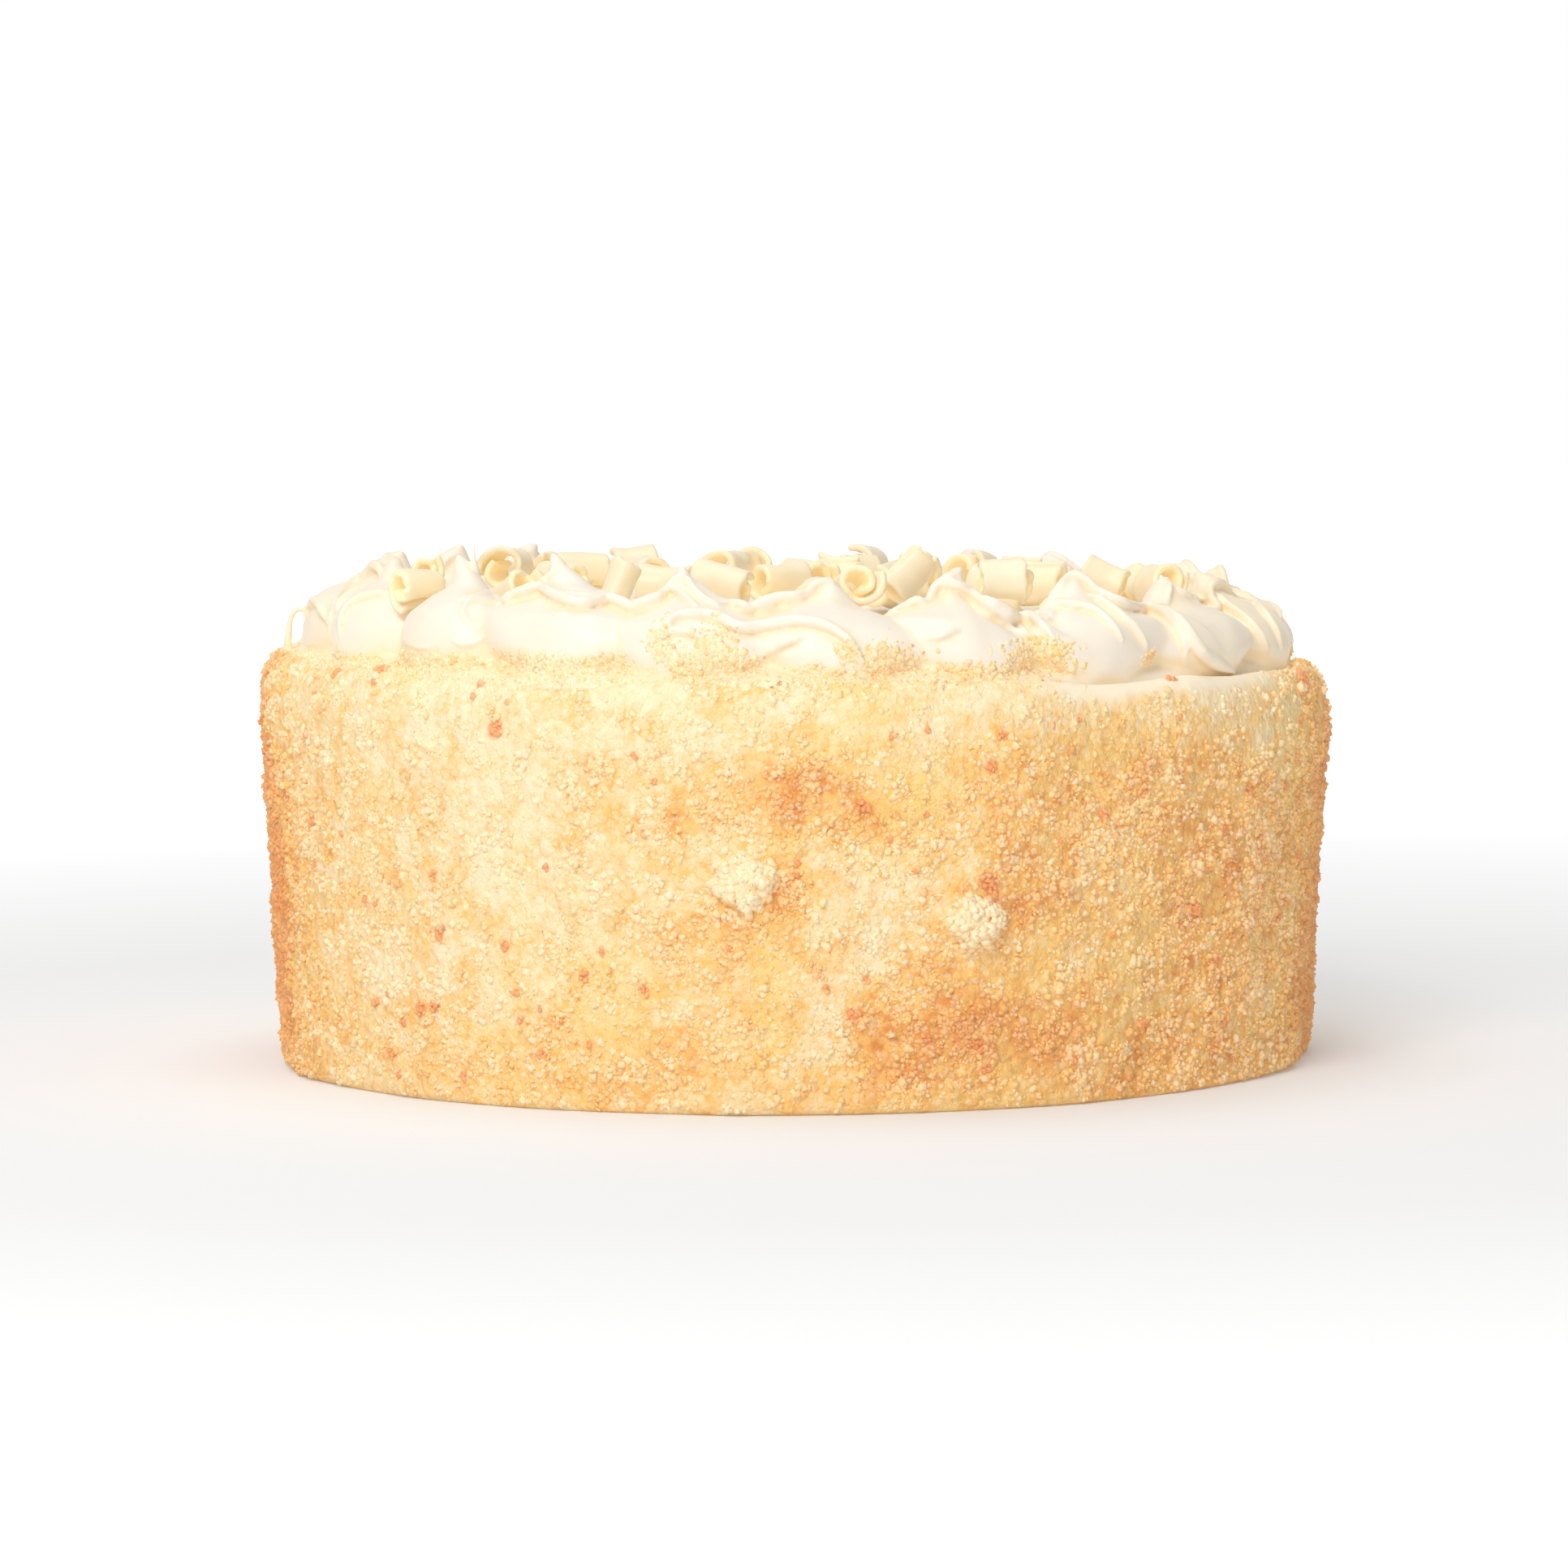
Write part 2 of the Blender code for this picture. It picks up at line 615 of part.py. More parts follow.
def build_cake():
    """Build every piece of the cake."""
    clear_scene()
    cake = make_collection("mousse_cake")
    sponge = make_material("sponge_crumb", SPONGE_COLOUR, 0.85)
    cream = make_material("whipped_cream", CREAM_COLOUR, 0.45)
    chocolate = make_material("white_chocolate", CHOCOLATE_COLOUR, 0.38)
    build_drum(sponge, cake)
    cream_pieces = [build_layer(cream, cake)]
    for number, dollop in enumerate(plan_dollops(), start=1):
        cream_pieces.append(build_dollop(f"cream_dollop_{number:02d}", dollop, cream, cake))
    build_curls(cream_pieces, chocolate, cake)


build_cake()
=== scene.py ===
"""Dress the mousse cake for its render: crumb coat, piped cream and rolled chocolate curls.

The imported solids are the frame. Each one is replaced by a piece that stands in the same place and
has the detail of real food. Inside the classes lengths are in millimetres and azimuths in degrees,
counted from the front, which faces -Y, towards +X. A finished mesh is in metres.
"""

from __future__ import annotations

import logging
import math
import random
from collections.abc import Iterator, Sequence
from contextlib import contextmanager
from dataclasses import dataclass
from enum import Enum
from functools import cached_property

import bpy
import numpy as np
from mathutils import Matrix, Vector, noise
from mathutils.bvhtree import BVHTree

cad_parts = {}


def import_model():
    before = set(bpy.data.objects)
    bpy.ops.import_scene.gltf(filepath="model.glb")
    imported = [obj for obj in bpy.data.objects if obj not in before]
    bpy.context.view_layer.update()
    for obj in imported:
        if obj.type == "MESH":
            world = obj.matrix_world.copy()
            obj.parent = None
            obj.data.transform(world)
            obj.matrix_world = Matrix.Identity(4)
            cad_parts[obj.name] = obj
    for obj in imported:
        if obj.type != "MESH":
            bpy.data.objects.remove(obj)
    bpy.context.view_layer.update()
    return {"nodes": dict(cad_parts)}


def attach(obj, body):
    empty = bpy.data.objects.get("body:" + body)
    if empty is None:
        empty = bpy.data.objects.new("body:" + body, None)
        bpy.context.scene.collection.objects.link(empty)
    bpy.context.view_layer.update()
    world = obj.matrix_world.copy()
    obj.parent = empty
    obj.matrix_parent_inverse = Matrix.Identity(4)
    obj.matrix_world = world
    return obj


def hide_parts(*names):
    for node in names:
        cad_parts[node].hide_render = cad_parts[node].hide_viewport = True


LOG = logging.getLogger("mousse_cake")
MM = 0.001
BODY = "root"
DOLLOPS = 22
CURLS = 36

Points = np.ndarray
Values = np.ndarray
Colour = tuple[float, float, float]


# ---- numbers ----

def ripple(points: Points, size: float, seed: float, octaves: int = 2) -> Values:
    """Return smooth noise, about -1 to 1.

    Args:
        points: Where to read it, one row each.
        size: Width of its largest bumps.
        seed: Shifts the pattern.
        octaves: How many finer layers it has.

    Returns:
        One value for each point.
    """
    spots = (points / size + seed).tolist()
    return np.array([noise.fractal(spot, 1.0, 2.0, octaves) for spot in spots])


def pebbles(points: Points, size: float, seed: float) -> Values:
    """Return rounded bumps packed side by side, 1 at the middle of each and 0 where they meet.

    Args:
        points: Where to read them, one row each.
        size: Width of a bump.
        seed: Shifts the pattern.

    Returns:
        One value for each point.
    """
    spots = (points / size + seed).tolist()
    near = np.array([noise.voronoi(spot)[0][:2] for spot in spots])
    return np.clip((near[:, 1] - near[:, 0]) * 1.6, 0.0, 1.0) ** 0.6


def step(low: float, high: float, values: Values) -> Values:
    """Return 0 below low, 1 above high and a smooth rise between."""
    share = np.clip((values - low) / (high - low), 0.0, 1.0)
    return share * share * (3.0 - 2.0 * share)


def turn_gap(first: Values, second: float) -> Values:
    """Return the signed difference of azimuths, -180 to 180 degrees."""
    return (first - second + 180.0) % 360.0 - 180.0


def smooth_path(corners: Sequence[Sequence[float]], count: int) -> Points:
    """Return points spread along a smooth curve through corners.

    Args:
        corners: The points that the curve passes, in order.
        count: How many points to return.

    Returns:
        The points, one row each.
    """
    ends = np.array(corners, float)
    padded = np.vstack([2.0 * ends[0] - ends[1], ends, 2.0 * ends[-1] - ends[-2]])
    places = np.linspace(0.0, len(ends) - 1.000001, count)
    first = places.astype(int)
    share = (places - first)[:, None]
    a, b, c, d = (padded[first + shift] for shift in range(4))
    return 0.5 * (2.0 * b + (c - a) * share + (2.0 * a - 5.0 * b + 4.0 * c - d) * share ** 2
                  + (3.0 * b - a - 3.0 * c + d) * share ** 3)


@dataclass(frozen=True)
class Sight:
    """The camera: its place in millimetres, its turn in degrees and its lens in pixels.

    It meets surfaces up to a Y of deepest.
    """

    eye: tuple[float, float, float] = (-1.3, -982.0, 113.5)
    pitch: float = 3.98
    roll: float = 0.34
    focal: float = 7250.0
    frame: float = 1932.0
    deepest: float = 12.0

    def turn(self) -> Matrix:
        """Return the camera's turn."""
        return (Matrix.Rotation(math.radians(90.0 - self.pitch), 4, 'X')
                @ Matrix.Rotation(math.radians(-self.roll), 4, 'Z'))

    def aim(self, across: float, down: float) -> Vector:
        """Return the direction in which a spot of the square frame is seen."""
        half = self.frame / 2.0
        return self.turn().to_3x3() @ Vector((across - half, half - down, -self.focal)).normalized()

    def at_depth(self, across: float, down: float, depth: float) -> Vector:
        """Return the point seen at a spot of the frame, at a Y of depth."""
        aim = self.aim(across, down)
        return Vector(self.eye) + aim * ((depth - self.eye[1]) / aim.y)

    def meet(self, tree: BVHTree, across: float, down: float) -> Vector | None:
        """Return the near surface seen at a spot of the frame, or up to 26 pixels below it."""
        for drop in range(0, 28, 2):
            spot = tree.ray_cast(Vector(self.eye), self.aim(across, down + drop))[0]
            if spot is not None and spot.y < self.deepest:
                return spot
        return None


# ---- modelling ----

class Bench:
    """Modelling with Blender's own operators, on one piece at a time."""

    @staticmethod
    def clear() -> None:
        """Leave nothing selected."""
        bpy.ops.object.select_all(action='DESELECT')

    @staticmethod
    def take(name: str) -> bpy.types.Object:
        """Name the primitive that was just added, and return it."""
        item = bpy.context.active_object
        item.name = item.data.name = name
        return item

    @classmethod
    def ball(cls, name: str, sides: int, levels: int) -> bpy.types.Object:
        """Add a ball with a radius of 1, to be shaped."""
        cls.clear()
        bpy.ops.mesh.primitive_uv_sphere_add(segments=sides, ring_count=levels, radius=1.0)
        return cls.take(name)

    @classmethod
    def sheet(cls, name: str, columns: int, rows: int) -> bpy.types.Object:
        """Add a flat grid that reaches from -1 to 1 both ways, to be shaped."""
        cls.clear()
        bpy.ops.mesh.primitive_grid_add(x_subdivisions=columns, y_subdivisions=rows, size=2.0)
        return cls.take(name)

    @classmethod
    def pick(cls, *items: bpy.types.Object) -> None:
        """Select only these objects, the first one active."""
        cls.clear()
        for item in items:
            item.select_set(True)
        bpy.context.view_layer.objects.active = items[0]

    @classmethod
    @contextmanager
    def editing(cls, item: bpy.types.Object) -> Iterator[None]:
        """Keep a piece in edit mode, all of it selected, for the length of a block."""
        cls.pick(item)
        bpy.ops.object.mode_set(mode='EDIT')
        bpy.ops.mesh.select_all(action='SELECT')
        yield
        bpy.ops.object.mode_set(mode='OBJECT')

    @classmethod
    def apply(cls, item: bpy.types.Object, kind: str, **settings: object) -> None:
        """Add a modifier with these settings and apply it."""
        cls.pick(item)
        modifier = item.modifiers.new(kind.lower(), kind)
        for key, value in settings.items():
            setattr(modifier, key, value)
        bpy.ops.object.modifier_apply(modifier=modifier.name)

    @classmethod
    def join(cls, name: str, items: Sequence[bpy.types.Object]) -> bpy.types.Object:
        """Join pieces into one mesh with this name."""
        cls.pick(*items)
        bpy.ops.object.join()
        return cls.take(name)

    @staticmethod
    def points(item: bpy.types.Object) -> Points:
        """Return a mesh's points, one row each."""
        flat = np.empty(len(item.data.vertices) * 3, np.float32)
        item.data.vertices.foreach_get("co", flat)
        return flat.reshape(-1, 3).astype(float)

    @staticmethod
    def normals(item: bpy.types.Object) -> Points:
        """Return a mesh's point normals, one row each."""
        flat = np.empty(len(item.data.vertices) * 3, np.float32)
        item.data.vertex_normals.foreach_get("vector", flat)
        return flat.reshape(-1, 3).astype(float)

    @staticmethod
    def move(item: bpy.types.Object, points: Points) -> None:
        """Move a mesh's points to new places."""
        item.data.vertices.foreach_set("co", points.astype(np.float32).ravel())
        item.data.update()

    @staticmethod
    def paint(item: bpy.types.Object, name: str, values: Values) -> None:
        """Keep one number for each point of a mesh as a named attribute."""
        layer = item.data.attributes.new(name, 'FLOAT', 'POINT')
        layer.data.foreach_set("value", values.astype(np.float32))

    @staticmethod
    def hollows(item: bpy.types.Object, rounds: int) -> Values:
        """Return how far each point lies in a hollow, in millimetres, below 0 on a ridge."""
        points = Bench.points(item)
        ends = np.empty(len(item.data.edges) * 2, np.int32)
        item.data.edges.foreach_get("vertices", ends)
        first, second = ends.reshape(-1, 2).T
        share = np.maximum(1.0, np.bincount(ends, minlength=len(points)))[:, None]
        smooth = points.copy()
        for _ in range(rounds):
            total = np.stack([np.bincount(first, smooth[second, axis], len(points))
                              + np.bincount(second, smooth[first, axis], len(points))
                              for axis in range(3)], 1)
            smooth = total / share
        return ((smooth - points) * Bench.normals(item)).sum(axis=1)

    @classmethod
    def soften(cls, item: bpy.types.Object, angle: float) -> None:
        """Shade a piece smooth, but for edges sharper than an angle in degrees."""
        cls.pick(item)
        bpy.ops.object.shade_smooth_by_angle(angle=math.radians(angle))

    @staticmethod
    def surface(item: bpy.types.Object) -> BVHTree:
        """Return a search tree over the faces of a piece."""
        faces = [tuple(face.vertices) for face in item.data.polygons]
        return BVHTree.FromPolygons(Bench.points(item).tolist(), faces)

    @staticmethod
    def ship(item: bpy.types.Object, finish: bpy.types.Material, slot: str,
             *nodes: str) -> bpy.types.Object:
        """Turn a finished piece into metres, dress it and hand it over.

        Args:
            item: The piece, in millimetres.
            finish: The material that it gets.
            slot: Not used.
            nodes: The solids that it stands for.

        Returns:
            The piece.
        """
        Bench.move(item, Bench.points(item) * MM)
        item.data.materials.clear()
        item.data.materials.append(finish)
        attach(item, BODY)
        if nodes:
            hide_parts(*nodes)
        faces = sum(len(face.vertices) - 2 for face in item.data.polygons)
        LOG.info("%s: %d triangles", item.name, faces)
        return item


# ---- finishes ----

class Value:
    """A number in a shader. Python's operators on it add Math nodes."""

    def __init__(self, socket: bpy.types.NodeSocket) -> None:
        """Wrap an output socket."""
        self.socket = socket
        self.tree = socket.id_data

    def math(self, operation: str, *items: "Value | float") -> "Value":
        """Return the result of a Math node on these values."""
        node = self.tree.nodes.new('ShaderNodeMath')
        node.operation = operation
        for entry, item in zip(node.inputs, items):
            if isinstance(item, Value):
                self.tree.links.new(item.socket, entry)
            else:
                entry.default_value = item
        return Value(node.outputs[0])

    def __add__(self, other: "Value | float") -> "Value":
        """Return self + other."""
        return self.math('ADD', self, other)

    def __sub__(self, other: "Value | float") -> "Value":
        """Return self - other."""
        return self.math('SUBTRACT', self, other)

    def __rsub__(self, other: "Value | float") -> "Value":
        """Return other - self."""
        return self.math('SUBTRACT', other, self)

    def __mul__(self, other: "Value | float") -> "Value":
        """Return self * other."""
        return self.math('MULTIPLY', self, other)

    __radd__ = __add__
    __rmul__ = __mul__

    def clamped(self) -> "Value":
        """Return the value held between 0 and 1."""
        return self.math('MINIMUM', self.math('MAXIMUM', self, 0.0), 1.0)


class Paint:
    """A material in the making."""

    def __init__(self, name: str, roughness: float, scatter: float, radius: Colour,
                 reach: float, gloss: float = 0.4) -> None:
        """Start a material.

        Args:
            name: The material's name.
            roughness: How matt it is where nothing varies it.
            scatter: How much of the light goes through it, 0 to 1.
            radius: How far red, green and blue go, as shares of reach.
            reach: How far light goes, in millimetres.
            gloss: The strength of its reflections, 0.5 being that of water or fat.
        """
        self.material = bpy.data.materials.new(name)
        self.material.use_nodes = True
        self.tree = self.material.node_tree
        self.shader = self.tree.nodes["Principled BSDF"]
        self.shader.inputs["Roughness"].default_value = roughness
        self.shader.inputs["Subsurface Weight"].default_value = scatter
        self.shader.inputs["Subsurface Radius"].default_value = radius
        self.shader.inputs["Subsurface Scale"].default_value = reach * MM
        self.shader.inputs["Specular IOR Level"].default_value = gloss
        self.place = self.node('ShaderNodeTexCoord').outputs["Object"]

    def glow(self, colour: Colour, strength: float) -> None:
        """Paint an even warm glow into the piece: painted light that lifts its shade, in place of
        the light that wanders inside it.
        """
        self.shader.inputs["Emission Color"].default_value = (*colour, 1.0)
        self.shader.inputs["Emission Strength"].default_value = strength

    def node(self, kind: str, settings: dict[str, object] | None = None,
             **sockets: object) -> bpy.types.Node:
        """Add a node.

        Args:
            kind: Its type.
            settings: Its own settings, set first. "stops" are a ramp's places and colours.
            sockets: Values or links of its inputs, "_" standing for a space in a name.

        Returns:
            The node.
        """
        node = self.tree.nodes.new(kind)
        for key, value in (settings or {}).items():
            if key == "stops":
                self.set_stops(node.color_ramp.elements, value)
            else:
                setattr(node, key, value)
        for key, value in sockets.items():
            entry = next(item for item in node.inputs
                         if item.name == key.replace("_", " ") and item.enabled)
            if isinstance(value, (Value, bpy.types.NodeSocket)):
                self.tree.links.new(getattr(value, "socket", value), entry)
            else:
                entry.default_value = value
        return node

    @staticmethod
    def set_stops(elements: bpy.types.ColorRampElements,
                  stops: Sequence[tuple[float, Colour]]) -> None:
        """Give a colour ramp these stops."""
        while len(elements) < len(stops):
            elements.new(1.0)
        for element, (place, colour) in zip(elements, stops):
            element.position = place
            element.color = (*colour, 1.0)

    def noise(self, size: float, detail: float = 3.0, roughness: float = 0.55,
              shift: Colour = (0.0, 0.0, 0.0)) -> Value:
        """Return noise of 0 to 1 with bumps of a size in millimetres."""
        moved = self.node('ShaderNodeMapping', None, Vector=self.place, Location=shift)
        node = self.node('ShaderNodeTexNoise', None, Vector=moved.outputs[0],
                         Scale=1.0 / (size * MM), Detail=detail, Roughness=roughness)
        return Value(node.outputs[0])

    def grains(self, size: float) -> tuple[Value, Value]:
        """Return ragged grains of a size in millimetres.

        Args:
            size: A grain's width.

        Returns:
            The distance to the middle of the nearest grain, and a tone of its own, 0 to 1.
        """
        fray = self.node('ShaderNodeTexNoise', None, Vector=self.place, Scale=1.6 / (size * MM),
                         Detail=2.0)
        moved = self.node('ShaderNodeVectorMath', {"operation": 'MULTIPLY_ADD'})
        self.tree.links.new(fray.outputs["Color"], moved.inputs[0])
        moved.inputs[1].default_value = (size * MM,) * 3
        self.tree.links.new(self.place, moved.inputs[2])
        node = self.node('ShaderNodeTexVoronoi', None, Vector=moved.outputs[0],
                         Scale=1.0 / (size * MM))
        tone = self.node('ShaderNodeSeparateColor', None, Color=node.outputs["Color"])
        return Value(node.outputs["Distance"]), Value(tone.outputs[0])

    def painted(self, name: str) -> Value:
        """Return a number that is kept on the piece's points."""
        return Value(self.node('ShaderNodeAttribute', {"attribute_name": name}).outputs["Fac"])

    def ramp(self, value: Value, *stops: tuple[float, Colour]) -> bpy.types.NodeSocket:
        """Return the colour that a value has between stops."""
        return self.node('ShaderNodeValToRGB', {"stops": stops}, Fac=value).outputs["Color"]

    def mix(self, factor: Value, first: object, second: object,
            blend: str = 'MIX') -> bpy.types.NodeSocket:
        """Return a mix of two colours."""
        node = self.node('ShaderNodeMix', {"data_type": 'RGBA', "blend_type": blend})
        for index, item in ((0, factor), (6, first), (7, second)):
            entry = node.inputs[index]
            if isinstance(item, (Value, bpy.types.NodeSocket)):
                self.tree.links.new(getattr(item, "socket", item), entry)
            elif isinstance(item, tuple):
                entry.default_value = (*item, 1.0)
            else:
                entry.default_value = item
        return node.outputs[2]

    def colour(self, source: bpy.types.NodeSocket) -> None:
        """Set what colours the surface."""
        self.tree.links.new(source, self.shader.inputs["Base Color"])

    def matt(self, value: Value) -> None:
        """Set what makes the surface matt."""
        self.tree.links.new(value.socket, self.shader.inputs["Roughness"])

    def relief(self, *layers: tuple[Value, float]) -> None:
        """Raise the surface by layers of (value, depth in millimetres at a value of 1)."""
        normal = None
        for value, depth in layers:
            entries = {"Height": value, "Distance": depth * MM}
            if normal is not None:
                entries["Normal"] = normal
            normal = self.node('ShaderNodeBump', None, **entries).outputs[0]
        self.tree.links.new(normal, self.shader.inputs["Normal"])


@dataclass(frozen=True)
class CreamFinish:
    """Whipped cream: ivory, soft, let through by light, with the faintest pits of air, a faint
    painted glow, and painted shade in its hollows and at its sides.
    """

    name: str = "whipped_cream_fine"
    pale: Colour = (0.945, 0.852, 0.735)
    warm: Colour = (0.945, 0.825, 0.650)
    shaded: Colour = (0.955, 0.790, 0.520)
    crumbed: Colour = (0.970, 0.800, 0.500)

    def make(self) -> bpy.types.Material:
        """Return the material."""
        paint = Paint(self.name, 0.38, 0.15, (1.0, 0.75, 0.45), 0.6)
        # Painted light: a faint, even warm glow that lifts the cream's shade.
        paint.glow((1.0, 0.86, 0.60), 0.035)
        cloud = paint.noise(14.0, 2.0)
        open_side = paint.mix((cloud - 0.35) * 1.8, self.pale, self.warm)
        # Painted shade: the colour moves toward the shaded colour in the hollows and at the left
        # and right sides.
        plain = paint.mix(paint.painted("hollow") * 0.70, open_side, self.shaded)
        away, tone = paint.grains(1.2)
        smear = (paint.painted("smear") * 1.5 + (paint.noise(2.6, 3.0) - 0.75)).clamped()
        paint.colour(paint.mix(smear * (0.55 + 0.45 * tone), plain, self.crumbed))
        paint.matt(0.30 + 0.14 * paint.noise(4.0))
        paint.relief((paint.noise(5.0, 2.0), 0.10), (paint.noise(0.9, 3.0), 0.012),
                     ((1.0 - away) * smear, 0.25))
        return paint.material


@dataclass(frozen=True)
class ChocolateFinish:
    """White chocolate: waxy butter yellow, faintly streaked, with a faint painted glow, and deep
    inside the roll a stronger painted glow and a yellower painted shade.
    """

    name: str = "white_chocolate_fine"
    pale: Colour = (0.950, 0.825, 0.625)
    milky: Colour = (0.950, 0.795, 0.530)
    # Painted shade deep inside the roll: a warmer, yellower colour than outside.
    deep: Colour = (0.970, 0.820, 0.540)

    def make(self) -> bpy.types.Material:
        """Return the material."""
        paint = Paint(self.name, 0.36, 0.35, (1.0, 0.80, 0.45), 0.5)
        # Painted light: an even glow, stronger deep inside the roll.
        paint.glow((1.0, 1.0, 1.0), 1.0)
        inside = paint.painted("deep")
        paint.tree.links.new(paint.mix(inside, (0.055, 0.047, 0.032), (0.135, 0.115, 0.066)),
                             paint.shader.inputs["Emission Color"])
        cloud = paint.noise(3.5, 3.0)
        skin = paint.mix(((cloud - 0.3) * 1.6).clamped(), self.pale, self.milky)
        paint.colour(paint.mix(inside, skin, self.deep))
        paint.matt(0.30 + 0.16 * paint.noise(2.5))
        paint.relief((paint.noise(1.6, 3.0), 0.07), (paint.noise(0.5, 2.0), 0.015))
        return paint.material


@dataclass(frozen=True)
class CoatFinish:
    """The coat under the loose crumbs: moist sponge, from pale cream to golden and toasted, with a
    faint painted glow and painted shade at its left and right edges.
    """

    name: str = "sponge_coat"
    cream: Colour = (0.99, 0.835, 0.56)
    golden: Colour = (0.98, 0.59, 0.19)
    toasted: Colour = (0.80, 0.30, 0.08)
    lemon: Colour = (0.98, 0.715, 0.25)
    peach: Colour = (0.97, 0.58, 0.26)
    crumb: Colour = (0.99, 0.83, 0.53)
    spot: Colour = (0.85, 0.32, 0.12)
    smear: Colour = (0.985, 0.862, 0.665)

    def tint(self, paint: Paint, fine: Value) -> bpy.types.NodeSocket:
        """Return the sponge's colour, with the painted shade at its left and right edges, which the
        loose crumbs on it share.

        Args:
            paint: The material that takes it.
            fine: Small changes in how golden it is.

        Returns:
            The colour.
        """
        blotch = paint.noise(5.5, 4.0, 0.6)
        gold = (paint.painted("gold") + (blotch - 0.5) * 1.4 + fine).clamped()
        # Painted shade at the left and right edges takes the coat to the golden and toasted
        # colours.
        base = paint.ramp(gold, (0.0, self.cream), (0.5, self.golden), (1.0, self.toasted))
        peach = ((paint.noise(4.2, 3.0, 0.6, (7.0, 4.0, 1.0)) - 0.50) * 3.2).clamped()
        tinted = paint.mix(peach * 0.60, base, self.peach)
        lemon = (paint.painted("lemon") + (paint.noise(7.0, 2.0) - 0.5)).clamped()
        yellow = paint.mix(lemon * 0.75, tinted, self.lemon)
        ragged = (paint.painted("spot") * 1.9 + (paint.noise(1.3, 3.0) - 0.85)).clamped()
        return paint.mix(ragged * 0.9, yellow, self.spot)

    def make(self) -> bpy.types.Material:
        """Return the material."""
        paint = Paint(self.name, 0.62, 0.04, (1.0, 0.75, 0.50), 0.8, 0.2)
        # Painted light: a faint, even warm glow that lifts the coat's shade.
        paint.glow((1.0, 0.68, 0.34), 0.045)
        rough = 1.0 - paint.painted("cream")
        away, tone = paint.grains(1.15)
        fleck = paint.noise(1.5, 3.0, 0.6, (3.0, 1.0, 2.0))
        base = self.tint(paint, (fleck - 0.5) * 0.5 + (tone - 0.5) * 0.36 + away * 0.14)
        white = ((tone - 0.62) * 6.0).clamped() * ((0.62 - away) * 5.0).clamped()
        grainy = paint.mix(white * 0.45, base, self.crumb)
        paint.colour(paint.mix(paint.painted("cream"), grainy, self.smear))
        paint.matt(0.52 + 0.22 * fleck)
        paint.relief(((1.0 - away) * rough, 0.32), (paint.noise(0.6, 3.0, 0.65) * rough, 0.12))
        return paint.material


@dataclass(frozen=True)
class CrumbFinish:
    """Loose crumbs of one kind, each with a tone of its own, a painted glow, and the coat's painted
    shade at its left and right edges.
    """

    name: str
    light: Colour
    strength: float

    def make(self) -> bpy.types.Material:
        """Return the material."""
        paint = Paint(self.name, 0.60, 0.0, (1.0, 0.65, 0.35), 0.2, 0.2)
        # Painted light: an even warm glow that lifts the shade between the crumbs.
        paint.glow((1.0, 0.70, 0.38), 0.12)
        own = paint.painted("tone")
        base = CoatFinish().tint(paint, (own - 0.5) * 0.34)
        gold = paint.painted("gold")
        # Crumbs keep the coat's colour where it is toasted, and where painted shade darkens its
        # left and right edges.
        browned_and_edge_shade = (0.75 * gold * gold + 0.60 * paint.painted("spot")).clamped()
        share = (own * 0.4 + self.strength).clamped() * (1.0 - browned_and_edge_shade)
        paint.colour(paint.mix(share, base, self.light))
        paint.relief((paint.noise(0.45, 3.0, 0.7), 0.08))
        return paint.material


# ---- the cake's plan ----

@dataclass(frozen=True)
class Dollop:
    """One piped dollop between two grooves."""

    left: float
    right: float
    height: float
    lean_out: float
    lean_side: float
    spread: float
    fold_turn: float

    @property
    def middle(self) -> float:
        """Return the azimuth of its middle."""
        return (self.left + self.right) / 2.0

    @property
    def half(self) -> float:
        """Return half the angle between its grooves."""
        return (self.right - self.left) / 2.0


